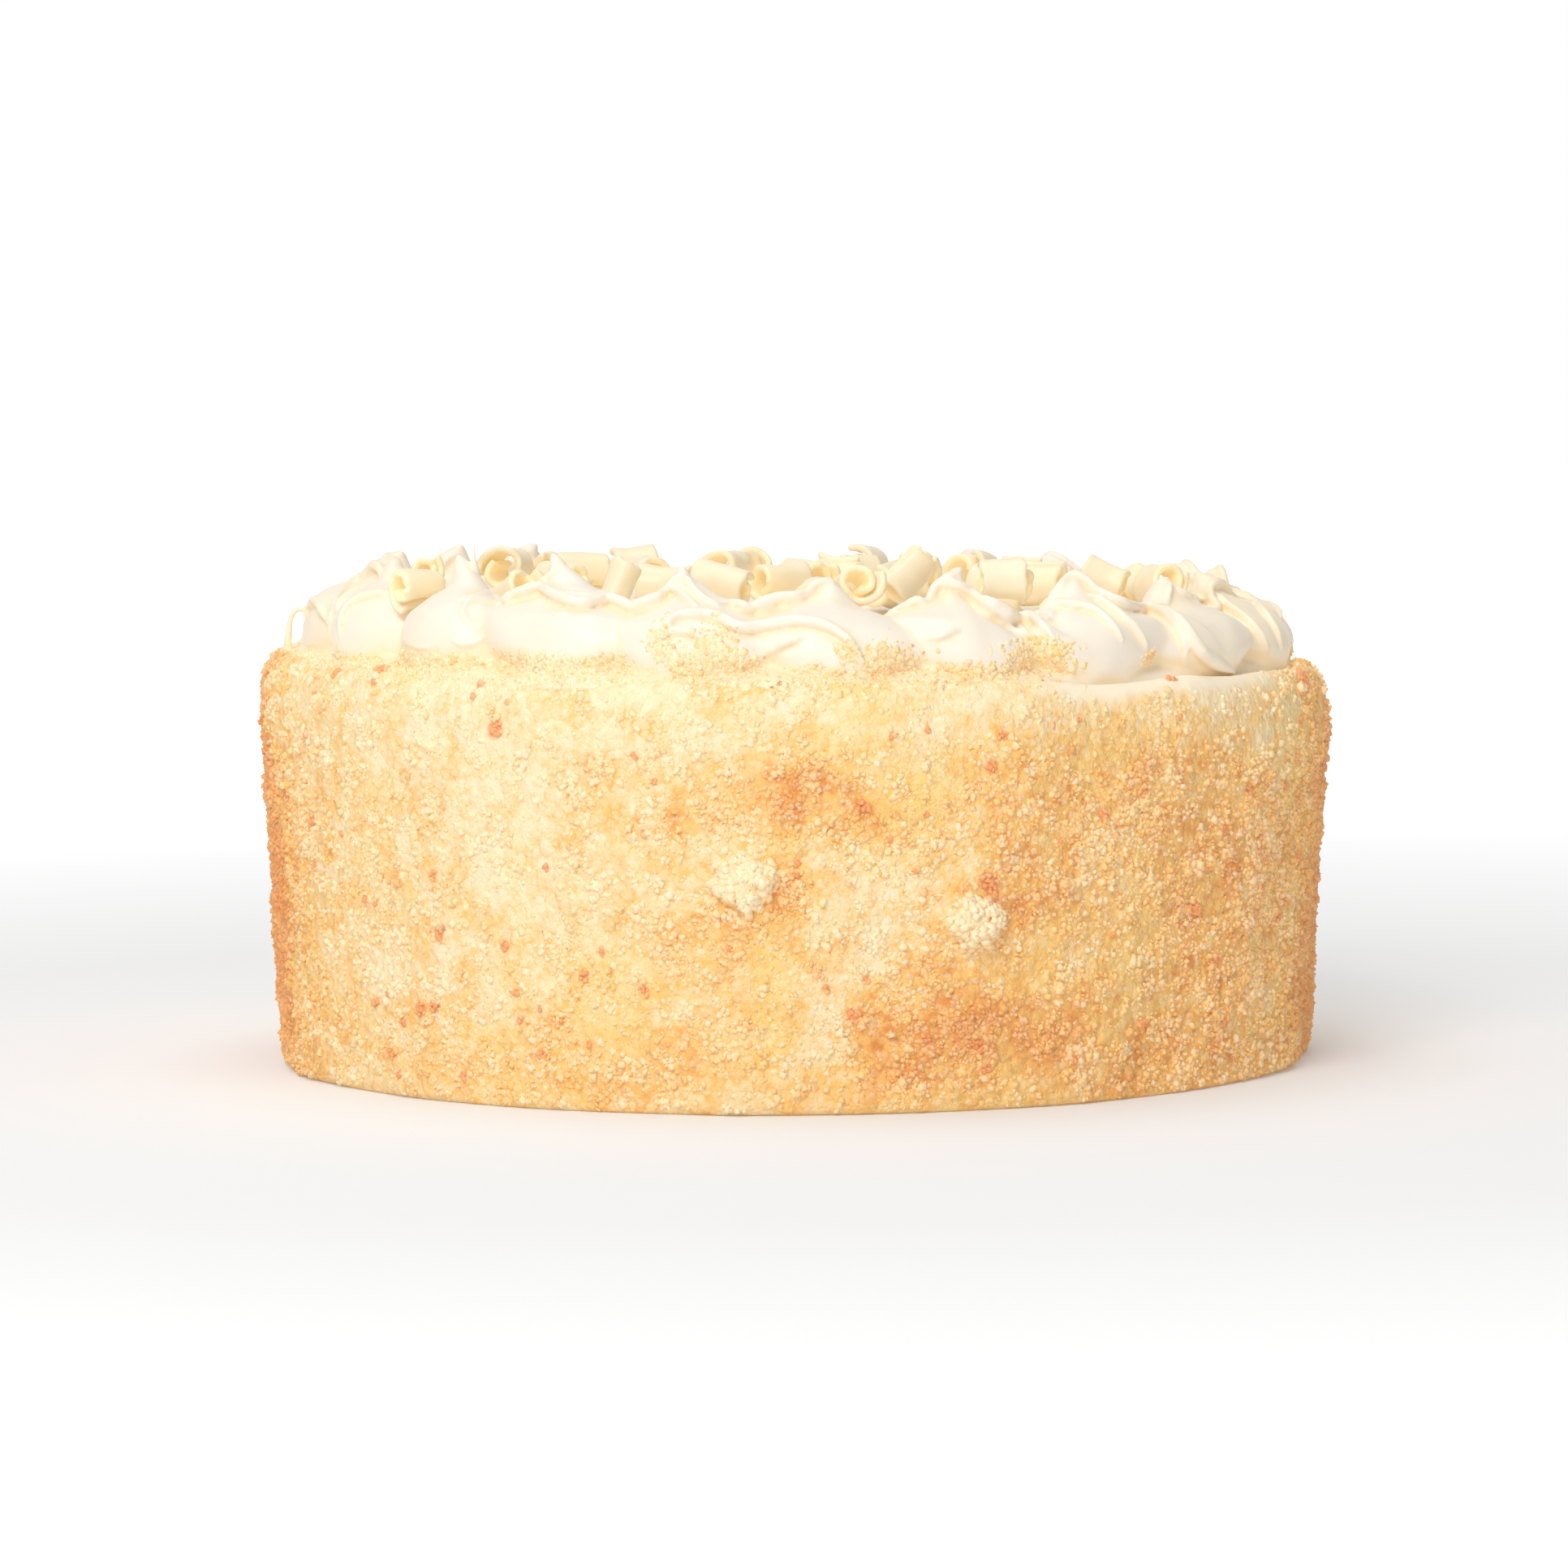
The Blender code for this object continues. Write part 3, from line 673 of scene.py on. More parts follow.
@dataclass(frozen=True)
class CakePlan:
    """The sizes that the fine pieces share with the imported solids.

    One degree of azimuth is degree_length long on the side. Rays that look for a surface from
    outside start at outside_radius.
    """

    cake_radius: float = 88.3
    foot_radius: float = 85.2
    foot_round: float = 1.2
    widest_height: float = 56.5
    rim_height: float = 66.4
    rim_radius: float = 84.4
    recess_radius: float = 82.6
    layer_top: float = 66.6
    gap: float = 0.3
    top_slope: float = 0.00035
    slope_radius: float = 80.0
    outside_radius: float = 120.0
    degree_length: float = 1.53
    heap_foot: float = 59.0
    heap_shoulder: float = 49.0
    heap_rise: float = 8.4
    heap_crown: float = 1.2
    ring_radius: float = 72.0
    dollop_reach: float = 12.1
    dollop_widen: float = 1.15
    back_dollops: int = 14
    lump_sink: float = 0.42
    coat_waves: tuple[tuple[float, float, float, float], ...] = (
        (0.45, 5, 0.0, 0.6), (0.35, 11, 0.035, 2.1), (0.30, 19, -0.070, 4.0))
    front_grooves: tuple[float, ...] = (-67.7, -51.9, -35.0, -18.5, -2.6, 13.9, 27.8, 46.1, 66.1)
    front_dollops: tuple[tuple[float, float, float, float], ...] = (
        (16.4, 1.0, -3.0, 0.0), (16.6, -0.6, -3.6, 0.05), (17.3, -1.0, -4.4, 0.70),
        (16.2, -1.4, -4.0, 0.74), (16.3, -1.0, -1.4, 0.74), (17.4, -1.2, -0.5, 0.66),
        (17.4, -0.8, 1.5, 0.66), (16.2, -1.0, 0.4, 0.60))

    def side_radius(self, height: Values) -> Values:
        """Return the drum's mean radius at heights on its side."""
        rise = self.cake_radius - self.foot_radius
        return self.foot_radius + rise * height / self.widest_height

    def coat_wave(self, azimuth: Values, height: Values) -> Values:
        """Return how far the coat stands out at azimuths and heights."""
        turn = np.radians(azimuth)
        return sum(rise * np.sin(waves * turn + twist * height + phase)
                   for rise, waves, twist, phase in self.coat_waves)

    def place(self, azimuth: Values, radius: Values, height: Values) -> Points:
        """Return points at azimuths, radii and heights, sunk towards +X as the top is."""
        turn = np.radians(azimuth)
        across, deep = radius * np.sin(turn), -radius * np.cos(turn)
        return np.stack([across, deep, height * (1.0 - self.top_slope * across)], axis=-1)

    def slope(self, azimuth: float) -> float:
        """Return the share of its height that the rim keeps at an azimuth."""
        return 1.0 - self.top_slope * self.slope_radius * math.sin(math.radians(azimuth))

    def outside(self, azimuth: float, height: float) -> tuple[Vector, Vector]:
        """Return a point well outside the cake, and the level direction from there to its axis."""
        start = Vector(self.place(np.array([azimuth]), np.array([self.outside_radius]),
                                  np.array([height]))[0])
        return start, Vector((-start.x, -start.y, 0.0)).normalized()

    @staticmethod
    def outward(azimuth: float) -> tuple[Vector, Vector]:
        """Return the level directions away from the axis and towards greater azimuths."""
        turn = math.radians(azimuth)
        out = Vector((math.sin(turn), -math.cos(turn), 0.0))
        return out, Vector((-out.y, out.x, 0.0))

    @staticmethod
    def rim_rise(azimuth: Values) -> Values:
        """Return how much less the rim slopes than the rest of the top, round the front."""
        turn = np.radians(azimuth)
        return 1.2 * np.sin(turn) * np.clip(2.5 * np.cos(turn), 0.0, 1.0)

    @staticmethod
    def azimuths(points: Points) -> Values:
        """Return the azimuths of points."""
        return np.degrees(np.arctan2(points[:, 0], -points[:, 1]))

    def cream_height(self, radius: Values) -> Values:
        """Return the height of the cream inside the ring, at distances from the middle."""
        share = np.clip((self.heap_foot - radius) / (self.heap_foot - self.heap_shoulder), 0.0, 1.0)
        crown = np.maximum(0.0, 1.0 - (radius / self.heap_shoulder) ** 2)
        return (self.layer_top + self.heap_rise * share ** 2 * (3.0 - 2.0 * share)
                + self.heap_crown * crown)

    def lumps(self) -> list[tuple[float, float, float]]:
        """Return (azimuth, height, radius) of each large lump of crumb."""
        dice = random.Random(11)
        places = [(-4.7, 36.6, 5.2), (18.3, 29.7, 4.8)]
        for number in range(4):
            azimuth = 90.0 + 180.0 * (number + dice.uniform(0.25, 0.75)) / 4
            places.append((azimuth, dice.uniform(18.0, 46.0), dice.uniform(4.0, 5.2)))
        return places

    def dollops(self) -> list[Dollop]:
        """Return every dollop of the ring, counted from the front left."""
        first = self.front_grooves[-1]
        spacing = (360.0 + self.front_grooves[0] - first) / self.back_dollops
        dice = random.Random(23)
        grooves = list(self.front_grooves)
        for number in range(1, self.back_dollops):
            grooves.append(first + spacing * (number + dice.uniform(-0.09, 0.09)))
        grooves.append(self.front_grooves[0] + 360.0)
        ring = []
        for number, (left, right) in enumerate(zip(grooves, grooves[1:])):
            ranges = ((15.3, 17.6), (-2.2, 0.6), (-3.0, 3.0), (0.45, 0.75))
            shape = tuple(dice.uniform(*ends) for ends in ranges)
            if number < len(self.front_dollops):
                shape = self.front_dollops[number]
            ring.append(Dollop(left, right, *shape, dice.uniform(-1.1, 1.1)))
        return ring


# ---- the crumb coat ----

@dataclass(frozen=True)
class Patch:
    """A soft-edged patch on the coat: its middle, half its width and height, and its strength."""

    azimuth: float
    height: float
    wide: float
    tall: float
    amount: float

    def over(self, azimuth: Values, height: Values) -> Values:
        """Return the patch's strength at azimuths and heights."""
        reach = (turn_gap(azimuth, self.azimuth) / self.wide) ** 2
        reach = reach + ((height - self.height) / self.tall) ** 2
        return self.amount * np.exp(-reach)


TOASTED_SPOTS = (
    (-58.0, 64.8, 1.0), (-48.5, 66.0, 1.0), (-48.5, 64.4, 0.8), (-34.4, 65.0, 0.7),
    (-31.5, 57.8, 1.5), (-62.2, 54.6, 0.8), (-61.6, 41.4, 0.9), (-61.2, 34.8, 0.7),
    (-39.6, 35.3, 0.7), (-39.3, 25.8, 1.0), (-31.5, 24.6, 0.8), (-42.4, 14.3, 1.3),
    (-40.4, 15.1, 1.0), (-47.9, 6.5, 0.9), (-46.0, 11.5, 0.9), (-50.4, 14.5, 0.7),
    (-27.3, 8.7, 0.8), (-22.0, 21.4, 0.9), (-19.9, 25.1, 0.7), (-15.4, 19.5, 0.7),
    (7.0, 47.7, 1.2), (20.2, 54.1, 1.0), (33.7, 46.2, 1.0), (21.4, 59.2, 0.8),
    (44.2, 67.6, 0.8), (51.7, 42.0, 1.1), (55.8, 48.6, 1.1), (47.0, 29.7, 0.9),
    (51.1, 21.4, 1.0), (19.9, 36.2, 1.6), (20.4, 33.4, 1.0), (6.2, 15.8, 1.2),
    (19.3, 10.7, 0.9), (20.2, 6.8, 0.9), (39.9, 11.4, 1.0), (53.3, 10.4, 1.1),
    (65.2, 26.9, 1.1), (65.0, 48.5, 1.0), (59.8, 32.4, 0.8), (-74.8, 26.4, 0.9),
    (-78.8, 46.6, 1.1), (70.4, 36.3, 0.9), (70.4, 15.6, 0.9), (75.0, 65.4, 2.2))


@dataclass(frozen=True)
class CrumbMap:
    """Where the coat is golden, yellow, toasted or plain cream, where painted shade darkens its
    left and right edges, and where crumbs lie thick.
    """

    golden: tuple[Patch, ...] = (
        Patch(0.5, 50.0, 4.5, 8.0, 0.58), Patch(-6.0, 51.0, 5.0, 5.0, 0.15),
        Patch(-13.0, 45.5, 5.5, 4.5, 0.20), Patch(-1.0, 34.0, 2.6, 7.0, 0.50),
        Patch(9.0, 46.0, 4.5, 6.0, 0.32), Patch(-6.0, 27.0, 4.0, 6.0, 0.30),
        Patch(15.0, 13.0, 8.5, 8.0, 0.46), Patch(24.0, 9.0, 8.0, 6.0, 0.34),
        Patch(-12.0, 13.0, 6.5, 8.0, 0.14), Patch(23.0, 33.0, 3.0, 6.0, 0.38),
        Patch(28.0, 54.0, 16.0, 8.0, 0.34), Patch(27.0, 43.0, 7.0, 8.0, 0.16),
        Patch(52.0, 30.0, 22.0, 32.0, 0.36), Patch(-70.0, 30.0, 14.0, 30.0, 0.20),
        # The patches at azimuths 84, -92 and -80 are painted shade: they darken the coat's right
        # and left edges.
        Patch(-25.0, 7.0, 10.0, 6.0, 0.10), Patch(84.0, 34.0, 14.0, 36.0, 1.00),
        Patch(-92.0, 34.0, 16.0, 40.0, 1.30), Patch(-80.0, 32.0, 8.5, 30.0, 0.75),
        Patch(22.0, 34.0, 30.0, 34.0, 0.09))
    pale: tuple[Patch, ...] = (
        Patch(-28.0, 40.0, 9.0, 14.0, 0.30), Patch(9.0, 36.0, 6.0, 9.0, 0.28),
        Patch(-50.0, 16.0, 4.0, 6.0, 0.25), Patch(3.0, 12.0, 3.0, 10.0, 0.25),
        Patch(35.0, 40.0, 4.0, 8.0, 0.18))
    lemon: tuple[Patch, ...] = (
        Patch(-2.0, 17.0, 2.6, 13.0, 0.75), Patch(38.0, 22.0, 4.0, 8.0, 0.55),
        Patch(12.0, 49.0, 4.0, 6.0, 0.55), Patch(27.0, 20.0, 3.0, 5.0, 0.45),
        Patch(-1.0, 42.0, 2.0, 5.0, 0.30))
    plain: tuple[Patch, ...] = (
        Patch(47.0, 67.6, 17.0, 2.5, 1.6), Patch(33.0, 65.2, 5.0, 2.0, 0.8),
        Patch(-17.0, 65.0, 2.5, 2.0, 0.6), Patch(0.0, 62.5, 4.0, 1.6, 0.5))
    more_spots: int = 150

    def spots(self) -> list[tuple[float, float, float]]:
        """Return (azimuth, height, size) of each toasted spot: those seen, and others like them."""
        dice = random.Random(67)
        spots = list(TOASTED_SPOTS)
        for _ in range(self.more_spots):
            azimuth, height = dice.uniform(-180.0, 180.0), dice.uniform(3.0, 66.0)
            sizes = (0.60, 1.25) if abs(azimuth) > 76.0 else (0.40, 0.62)
            spots.append((azimuth, height, dice.uniform(*sizes)))
        return spots

    @staticmethod
    def _sum(patches: Sequence[Patch], azimuth: Values, height: Values) -> Values:
        """Return the strength of all patches together."""
        return sum(patch.over(azimuth, height) for patch in patches)

    def gold(self, azimuth: Values, height: Values, points: Points) -> Values:
        """Return how golden the coat is, 0 to 1, with painted shade at its left and right edges."""
        back = step(75.0, 110.0, np.abs(azimuth))
        drift = ripple(points, 26.0, 4.0) * (0.10 + 0.34 * back)
        rise = 0.22 - 0.17 * step(44.0, 62.0, height) + 0.10 * step(24.0, 4.0, height)
        return np.clip(rise + drift + self._sum(self.golden, azimuth, height)
                       - self._sum(self.pale, azimuth, height), 0.0, 1.0)

    def yellow(self, azimuth: Values, height: Values, points: Points) -> Values:
        """Return how yellow the coat is, 0 to 1."""
        drift = np.maximum(0.0, ripple(points, 30.0, 11.0)) * 0.7
        return np.clip(self._sum(self.lemon, azimuth, height) + drift, 0.0, 1.0)

    def cream(self, azimuth: Values, height: Values, points: Points) -> Values:
        """Return where smooth cream shows instead of crumb, 0 to 1."""
        back = step(75.0, 110.0, np.abs(azimuth))
        shreds = back * step(0.05, 0.35, ripple(points, 24.0, 7.0)) * step(60.0, 65.0, height)
        fray = ripple(points, 5.0, 2.0) * 0.5
        return np.clip(self._sum(self.plain, azimuth, height) * (1.0 + fray) + shreds, 0.0, 1.0)

    def thick(self, azimuth: Values, height: Values, points: Points) -> Values:
        """Return how thick loose crumbs lie, 0 to 1."""
        rise = 0.62 - 0.34 * step(46.0, 60.0, height) + 0.12 * step(22.0, 4.0, height)
        sides = 0.20 * step(42.0, 75.0, np.abs(azimuth))
        clumps = 0.55 * ripple(points, 9.0, 21.0, 3)
        bare = self._sum(self.pale, azimuth, height) + 0.5 * self.yellow(azimuth, height, points)
        full = rise + sides + clumps - 0.5 * bare + 0.4 * self._sum(self.golden, azimuth, height)
        return np.clip(full, 0.05, 1.0) * (1.0 - self.cream(azimuth, height, points))


@dataclass
class CrumbCoat:
    """The drum of sponge and mousse, with its uneven coat, hidden by cream inside seen_radius."""

    plan: CakePlan
    areas: CrumbMap
    columns: int = 880
    rows: int = 110
    seen_radius: float = 84.9
    item: bpy.types.Object | None = None
    azimuth: Values | None = None
    height: Values | None = None
    outline: Points | None = None
    lumpy: Values | None = None

    def profile(self) -> Points:
        """Return (radius, height) from inside the rim, over the shoulder, to the base."""
        plan = self.plan
        quarter = np.radians(np.linspace(90.0, 0.0, 16))
        shoulder = np.stack([
            plan.rim_radius + (plan.cake_radius - plan.rim_radius) * np.cos(quarter),
            plan.widest_height + (plan.rim_height - plan.widest_height) * np.sin(quarter)], 1)
        heights = np.linspace(plan.widest_height, plan.foot_round, self.rows - 20)[1:]
        side = np.stack([plan.side_radius(heights), heights], 1)
        rim = np.array([(77.0, 64.0), (79.6, 64.8), (81.4, 65.6), (83.0, 66.2)])
        foot = np.array([(84.9, 0.5), (84.3, 0.1), (83.6, 0.0)])
        return np.vstack([rim, shoulder, side, foot])

    def lump_rise(self, azimuth: Values, height: Values, points: Points) -> Values:
        """Return how far the large lumps of crumb stand out."""
        rise = np.zeros(len(azimuth))
        rugged = ripple(points, 2.2, 31.0, 3)
        for number, (middle, level, radius) in enumerate(self.plan.lumps()):
            dice = random.Random(800 + number)
            around = np.radians(turn_gap(azimuth, middle)) * self.plan.cake_radius
            away = (around ** 2 + (height - level) ** 2) / radius ** 2 * (1.0 + 0.6 * rugged)
            dome = radius * (np.sqrt(np.maximum(0.0, 1.0 - away)) - self.plan.lump_sink)
            crags = np.zeros(len(azimuth))
            for _ in range(16):
                reach, turn = radius * math.sqrt(dice.random()) * 0.85, dice.uniform(0.0, math.tau)
                size = dice.uniform(0.8, 1.9)
                gap = np.hypot(around - reach * math.cos(turn),
                               height - level - reach * math.sin(turn)) / size
                crags = np.maximum(crags, 0.8 * size * np.sqrt(np.maximum(0.0, 1.0 - gap ** 2)))
            rise = np.maximum(rise, 0.60 * np.maximum(dome, 0.0) + crags)
        return rise

    def build(self) -> bpy.types.Object:
        """Wrap a grid into the drum, close it and raise its relief."""
        profile = self.profile()
        item = Bench.sheet("crumb_coat", self.columns, len(profile) - 1)
        flat = Bench.points(item)
        row = np.rint((1.0 - flat[:, 1]) / 2.0 * (len(profile) - 1)).astype(int)
        azimuth = flat[:, 0] * 180.0
        radius, height = profile[row].T
        smooth = self.plan.place(azimuth, radius, height)
        area = self.areas
        cream = area.cream(azimuth, height, smooth)
        thick = area.thick(azimuth, height, smooth)
        lumps = self.lump_rise(azimuth, height, smooth)
        relief = (self.plan.coat_wave(azimuth, height) + 0.45 * ripple(smooth, 15.0, 1.0)
                  + (1.0 - cream) * (0.30 + 0.45 * thick)
                  * (0.95 * pebbles(smooth, 3.1, 5.0) + 0.60 * pebbles(smooth, 1.5, 9.0) - 0.85)
                  + lumps)
        slope = np.gradient(profile, axis=0)
        slope /= np.linalg.norm(slope, axis=1)[:, None]
        out, up = -slope[row, 1], slope[row, 0]
        inside = np.clip((radius - 76.0) / 8.0, 0.0, 1.0) * np.clip(height / 1.2, 0.0, 1.0)
        level = self.plan.rim_rise(azimuth) * step(50.0, 66.0, height)
        Bench.move(item, self.plan.place(azimuth, radius + relief * out * inside,
                                         height + level + relief * up * inside))
        self._close(item)
        self._keep(item)
        return item

    def _close(self, item: bpy.types.Object) -> None:
        """Merge the seam, fill both ends and turn the faces outwards."""
        with Bench.editing(item):
            bpy.ops.mesh.remove_doubles(threshold=0.001)
            bpy.ops.mesh.select_all(action='DESELECT')
            bpy.ops.mesh.select_non_manifold()
            bpy.ops.mesh.fill_holes(sides=0)
            bpy.ops.mesh.select_all(action='SELECT')
            bpy.ops.mesh.normals_make_consistent(inside=False)
        Bench.soften(item, 80.0)

    def _keep(self, item: bpy.types.Object) -> None:
        """Keep what the crumbs and the finish need to know about the coat's points."""
        points = Bench.points(item)
        self.item = item
        self.azimuth = self.plan.azimuths(points)
        self.height = points[:, 2] / (1.0 - self.plan.top_slope * points[:, 0])
        self.outline = points
        self.lumpy = self.lump_rise(self.azimuth, self.height, points)
        area = self.areas
        pale = np.clip(self.lumpy / 2.0, 0.0, 1.0)
        # The coat's golden tone, with the painted shade at its left and right edges.
        Bench.paint(item, "gold", area.gold(self.azimuth, self.height, points) * (1.0 - pale))
        Bench.paint(item, "lemon", area.yellow(self.azimuth, self.height, points) * (1.0 - pale))
        Bench.paint(item, "cream", area.cream(self.azimuth, self.height, points))
        Bench.paint(item, "spot", self.toasted(points))

    @cached_property
    def spots(self) -> list[tuple[int, float]]:
        """Return the point at the middle of each toasted spot, and the spot's size."""
        hidden = np.hypot(self.outline[:, 0], self.outline[:, 1]) < self.seen_radius
        spots = []
        for azimuth, height, size in self.areas.spots():
            around = turn_gap(self.azimuth, azimuth) * self.plan.degree_length
            away = around ** 2 + (self.height - height) ** 2
            spots.append((int(np.argmin(np.where(hidden, math.inf, away))), size))
        return spots

    def toasted(self, points: Points) -> Values:
        """Return how toasted the coat is at points, 0 to 1."""
        total = np.zeros(len(points))
        for middle, size in self.spots:
            away = ((points - self.outline[middle]) ** 2).sum(axis=1)
            total = np.maximum(total, np.exp(-(away / (1.1 * size ** 2)) ** 1.5))
        return total

    def dress(self) -> bpy.types.Object:
        """Hand the coat over."""
        return Bench.ship(self.item, CoatFinish().make(), "sponge_crumb", "cake_body")


# ---- piped cream ----

@dataclass(frozen=True)
class Fold:
    """A soft ridge laid over the ring.

    Its path is in azimuth and height, or in across and down as it is seen in the frame.
    """

    path: tuple[tuple[float, float], ...]
    thickness: float = 1.5
    seen: bool = False
    press: float = 1.0


def seen(thickness: float, *path: tuple[float, float], press: float = 1.0) -> Fold:
    """Return a fold drawn as the camera sees it."""
    return Fold(path, thickness, True, press)


FRONT_FOLDS = (
    seen(1.1, (419, 788), (420, 770), (424, 755), (432, 744), (446, 735), (462, 731), (478, 730),
         (489, 730)),
    seen(0.9, (405, 784), (408, 764), (415, 741), (429, 720), (443, 702), (458, 688), press=0.7),
    seen(1.1, (584, 737), (600, 731), (619, 724), (637, 717), (653, 710), (666, 703), (675, 694),
         (680, 686), press=0.5),
    seen(1.7, (613, 746), (622, 737), (630, 730), (640, 725), (653, 722), (668, 723), (678, 729),
         (690, 735), (701, 739), (713, 742), (727, 742), (741, 739), (756, 736), (773, 734),
         (791, 731), (806, 725), (820, 722), (834, 727), (847, 737), (859, 746)),
    seen(1.0, (688, 727), (703, 731), (718, 733), (732, 733), (744, 728), (753, 719), press=0.3),
    seen(1.1, (803, 722), (820, 715), (832, 708), (839, 700), press=0.3),
    seen(1.2, (843, 703), (850, 718), (860, 731), (873, 740), (888, 745), press=0.3),
    seen(1.5, (884, 746), (904, 741), (920, 737), (944, 730), (969, 721), (993, 718), (1014, 717),
         (1027, 710)),
    seen(0.9, (928, 750), (946, 744), (962, 737), (977, 729)),
    seen(1.8, (815, 780), (821, 770), (829, 763), (839, 758), (856, 756), (874, 757), (890, 762),
         (902, 769), (915, 773), (934, 772), (957, 768), (978, 765), (998, 766), (1015, 770),
         (1031, 778), (1046, 790), (1056, 803), (1062, 819)),
    seen(1.2, (817, 781), (833, 777), (850, 779), (865, 785)),
    seen(1.2, (946, 807), (956, 798), (970, 791), (987, 787)),
    seen(1.5, (1093, 748), (1107, 744), (1120, 739), (1133, 729), (1148, 722), (1162, 719),
         (1179, 721), (1194, 729), (1207, 739), (1227, 752), (1248, 768), (1263, 780), (1276, 791)),
    seen(1.6, (1196, 721), (1208, 730), (1222, 739), (1240, 746), (1258, 752), (1273, 762),
         (1287, 776), (1300, 791)),
    seen(1.1, (1152, 715), (1167, 712), (1177, 707), (1184, 700), press=0.3),
    seen(1.0, (1141, 788), (1156, 785), (1170, 779), (1182, 776), press=0.8),
    seen(1.4, (1282, 746), (1296, 743), (1314, 744), (1332, 746), (1348, 752), (1362, 763),
         (1375, 777), (1383, 790), press=0.6),
    seen(1.4, (1340, 732), (1353, 738), (1366, 747), (1381, 759), (1395, 771), (1405, 784),
         (1413, 797), press=0.6),
    seen(1.5, (1286, 723), (1304, 713), (1323, 704), (1337, 702), (1349, 712), (1361, 726),
         (1376, 735), (1396, 742), (1414, 747), (1429, 752), (1442, 765), (1452, 782), (1459, 800),
         (1459, 818), press=0.7),
    seen(2.4, (1434, 749), (1447, 763), (1460, 780), (1470, 796), (1483, 811), (1500, 823),
         (1517, 830), press=0.4),
    seen(0.9, (1437, 744), (1440, 730), (1442, 716), press=0.4),
    seen(1.0, (1443, 716), (1450, 726), (1463, 732), (1478, 737), press=0.6),
    seen(1.4, (1472, 742), (1485, 738), (1498, 735), (1508, 744), (1522, 754), (1536, 765),
         (1548, 778), (1557, 793), (1560, 808), press=0.6),
    seen(1.1, (1508, 712), (1526, 724), (1544, 740), (1559, 757), (1572, 778), (1579, 800),
         press=0.6),
    seen(0.9, (598, 730), (584, 736), (574, 746), (572, 759), (581, 769), (593, 772), press=0.3),
    seen(1.0, (556, 789), (570, 794), (586, 792), (598, 783), press=0.25),
    seen(0.7, (683, 760), (693, 756), (706, 758), press=0.4),
    seen(0.8, (497, 790), (512, 797), (530, 797), (546, 789), press=0.2),
)


@dataclass(frozen=True)
class Drawn:
    """A free strand of cream, as (across, down) in the frame, at a depth, with its radii."""

    depth: float
    girths: tuple[float, ...]
    path: tuple[tuple[float, float], ...]


STRANDS = (
    Drawn(-12.0, (0.85, 0.52, 0.48, 0.48, 0.52, 0.90), (
        (354, 806), (356, 776), (359, 760), (366, 751), (374, 751), (379, 761), (383, 790))),
    Drawn(-50.0, (0.9, 0.30, 0.16), ((586, 708), (584, 684), (584, 662))),
)

NIBS = {1: (564, 684), 2: (680, 682), 3: (841, 698), 4: (1023, 711), 5: (1185, 700),
        6: (1331, 702), 7: (1441, 713)}

CRUMBED = (
    (-13.9, 72.4, 1.5, 2.3, 60), (-8.2, 72.0, 1.9, 3.0, 120), (-10.4, 68.4, 2.2, 2.4, 120),
    (-5.4, 68.4, 2.2, 2.6, 130), (5.9, 71.3, 0.9, 1.5, 30), (10.4, 69.0, 2.8, 3.0, 230),
    (27.6, 70.2, 3.4, 3.0, 250), (-20.6, 68.0, 3.0, 1.8, 140), (-29.0, 67.8, 6.0, 2.0, 380),
    (-43.0, 67.2, 7.0, 1.8, 400), (-58.0, 66.4, 6.0, 1.6, 380), (2.4, 67.4, 3.0, 1.5, 90),
    (19.0, 67.8, 4.0, 1.3, 110), (-71.0, 66.2, 5.0, 1.5, 240), (-82.0, 66.2, 5.0, 1.5, 200),
    (43.0, 69.6, 1.2, 0.8, 22), (84.0, 67.6, 6.0, 1.5, 60), (106.0, 66.8, 9.0, 1.6, 330),
    (127.0, 68.2, 3.0, 2.8, 200), (146.0, 66.8, 8.0, 1.5, 280), (168.0, 67.0, 7.0, 1.6, 260),
    (-166.0, 68.0, 3.2, 2.8, 220), (-148.0, 66.8, 8.0, 1.5, 280), (-126.0, 67.0, 7.0, 1.6, 260),
    (-106.0, 68.4, 3.0, 2.6, 180))


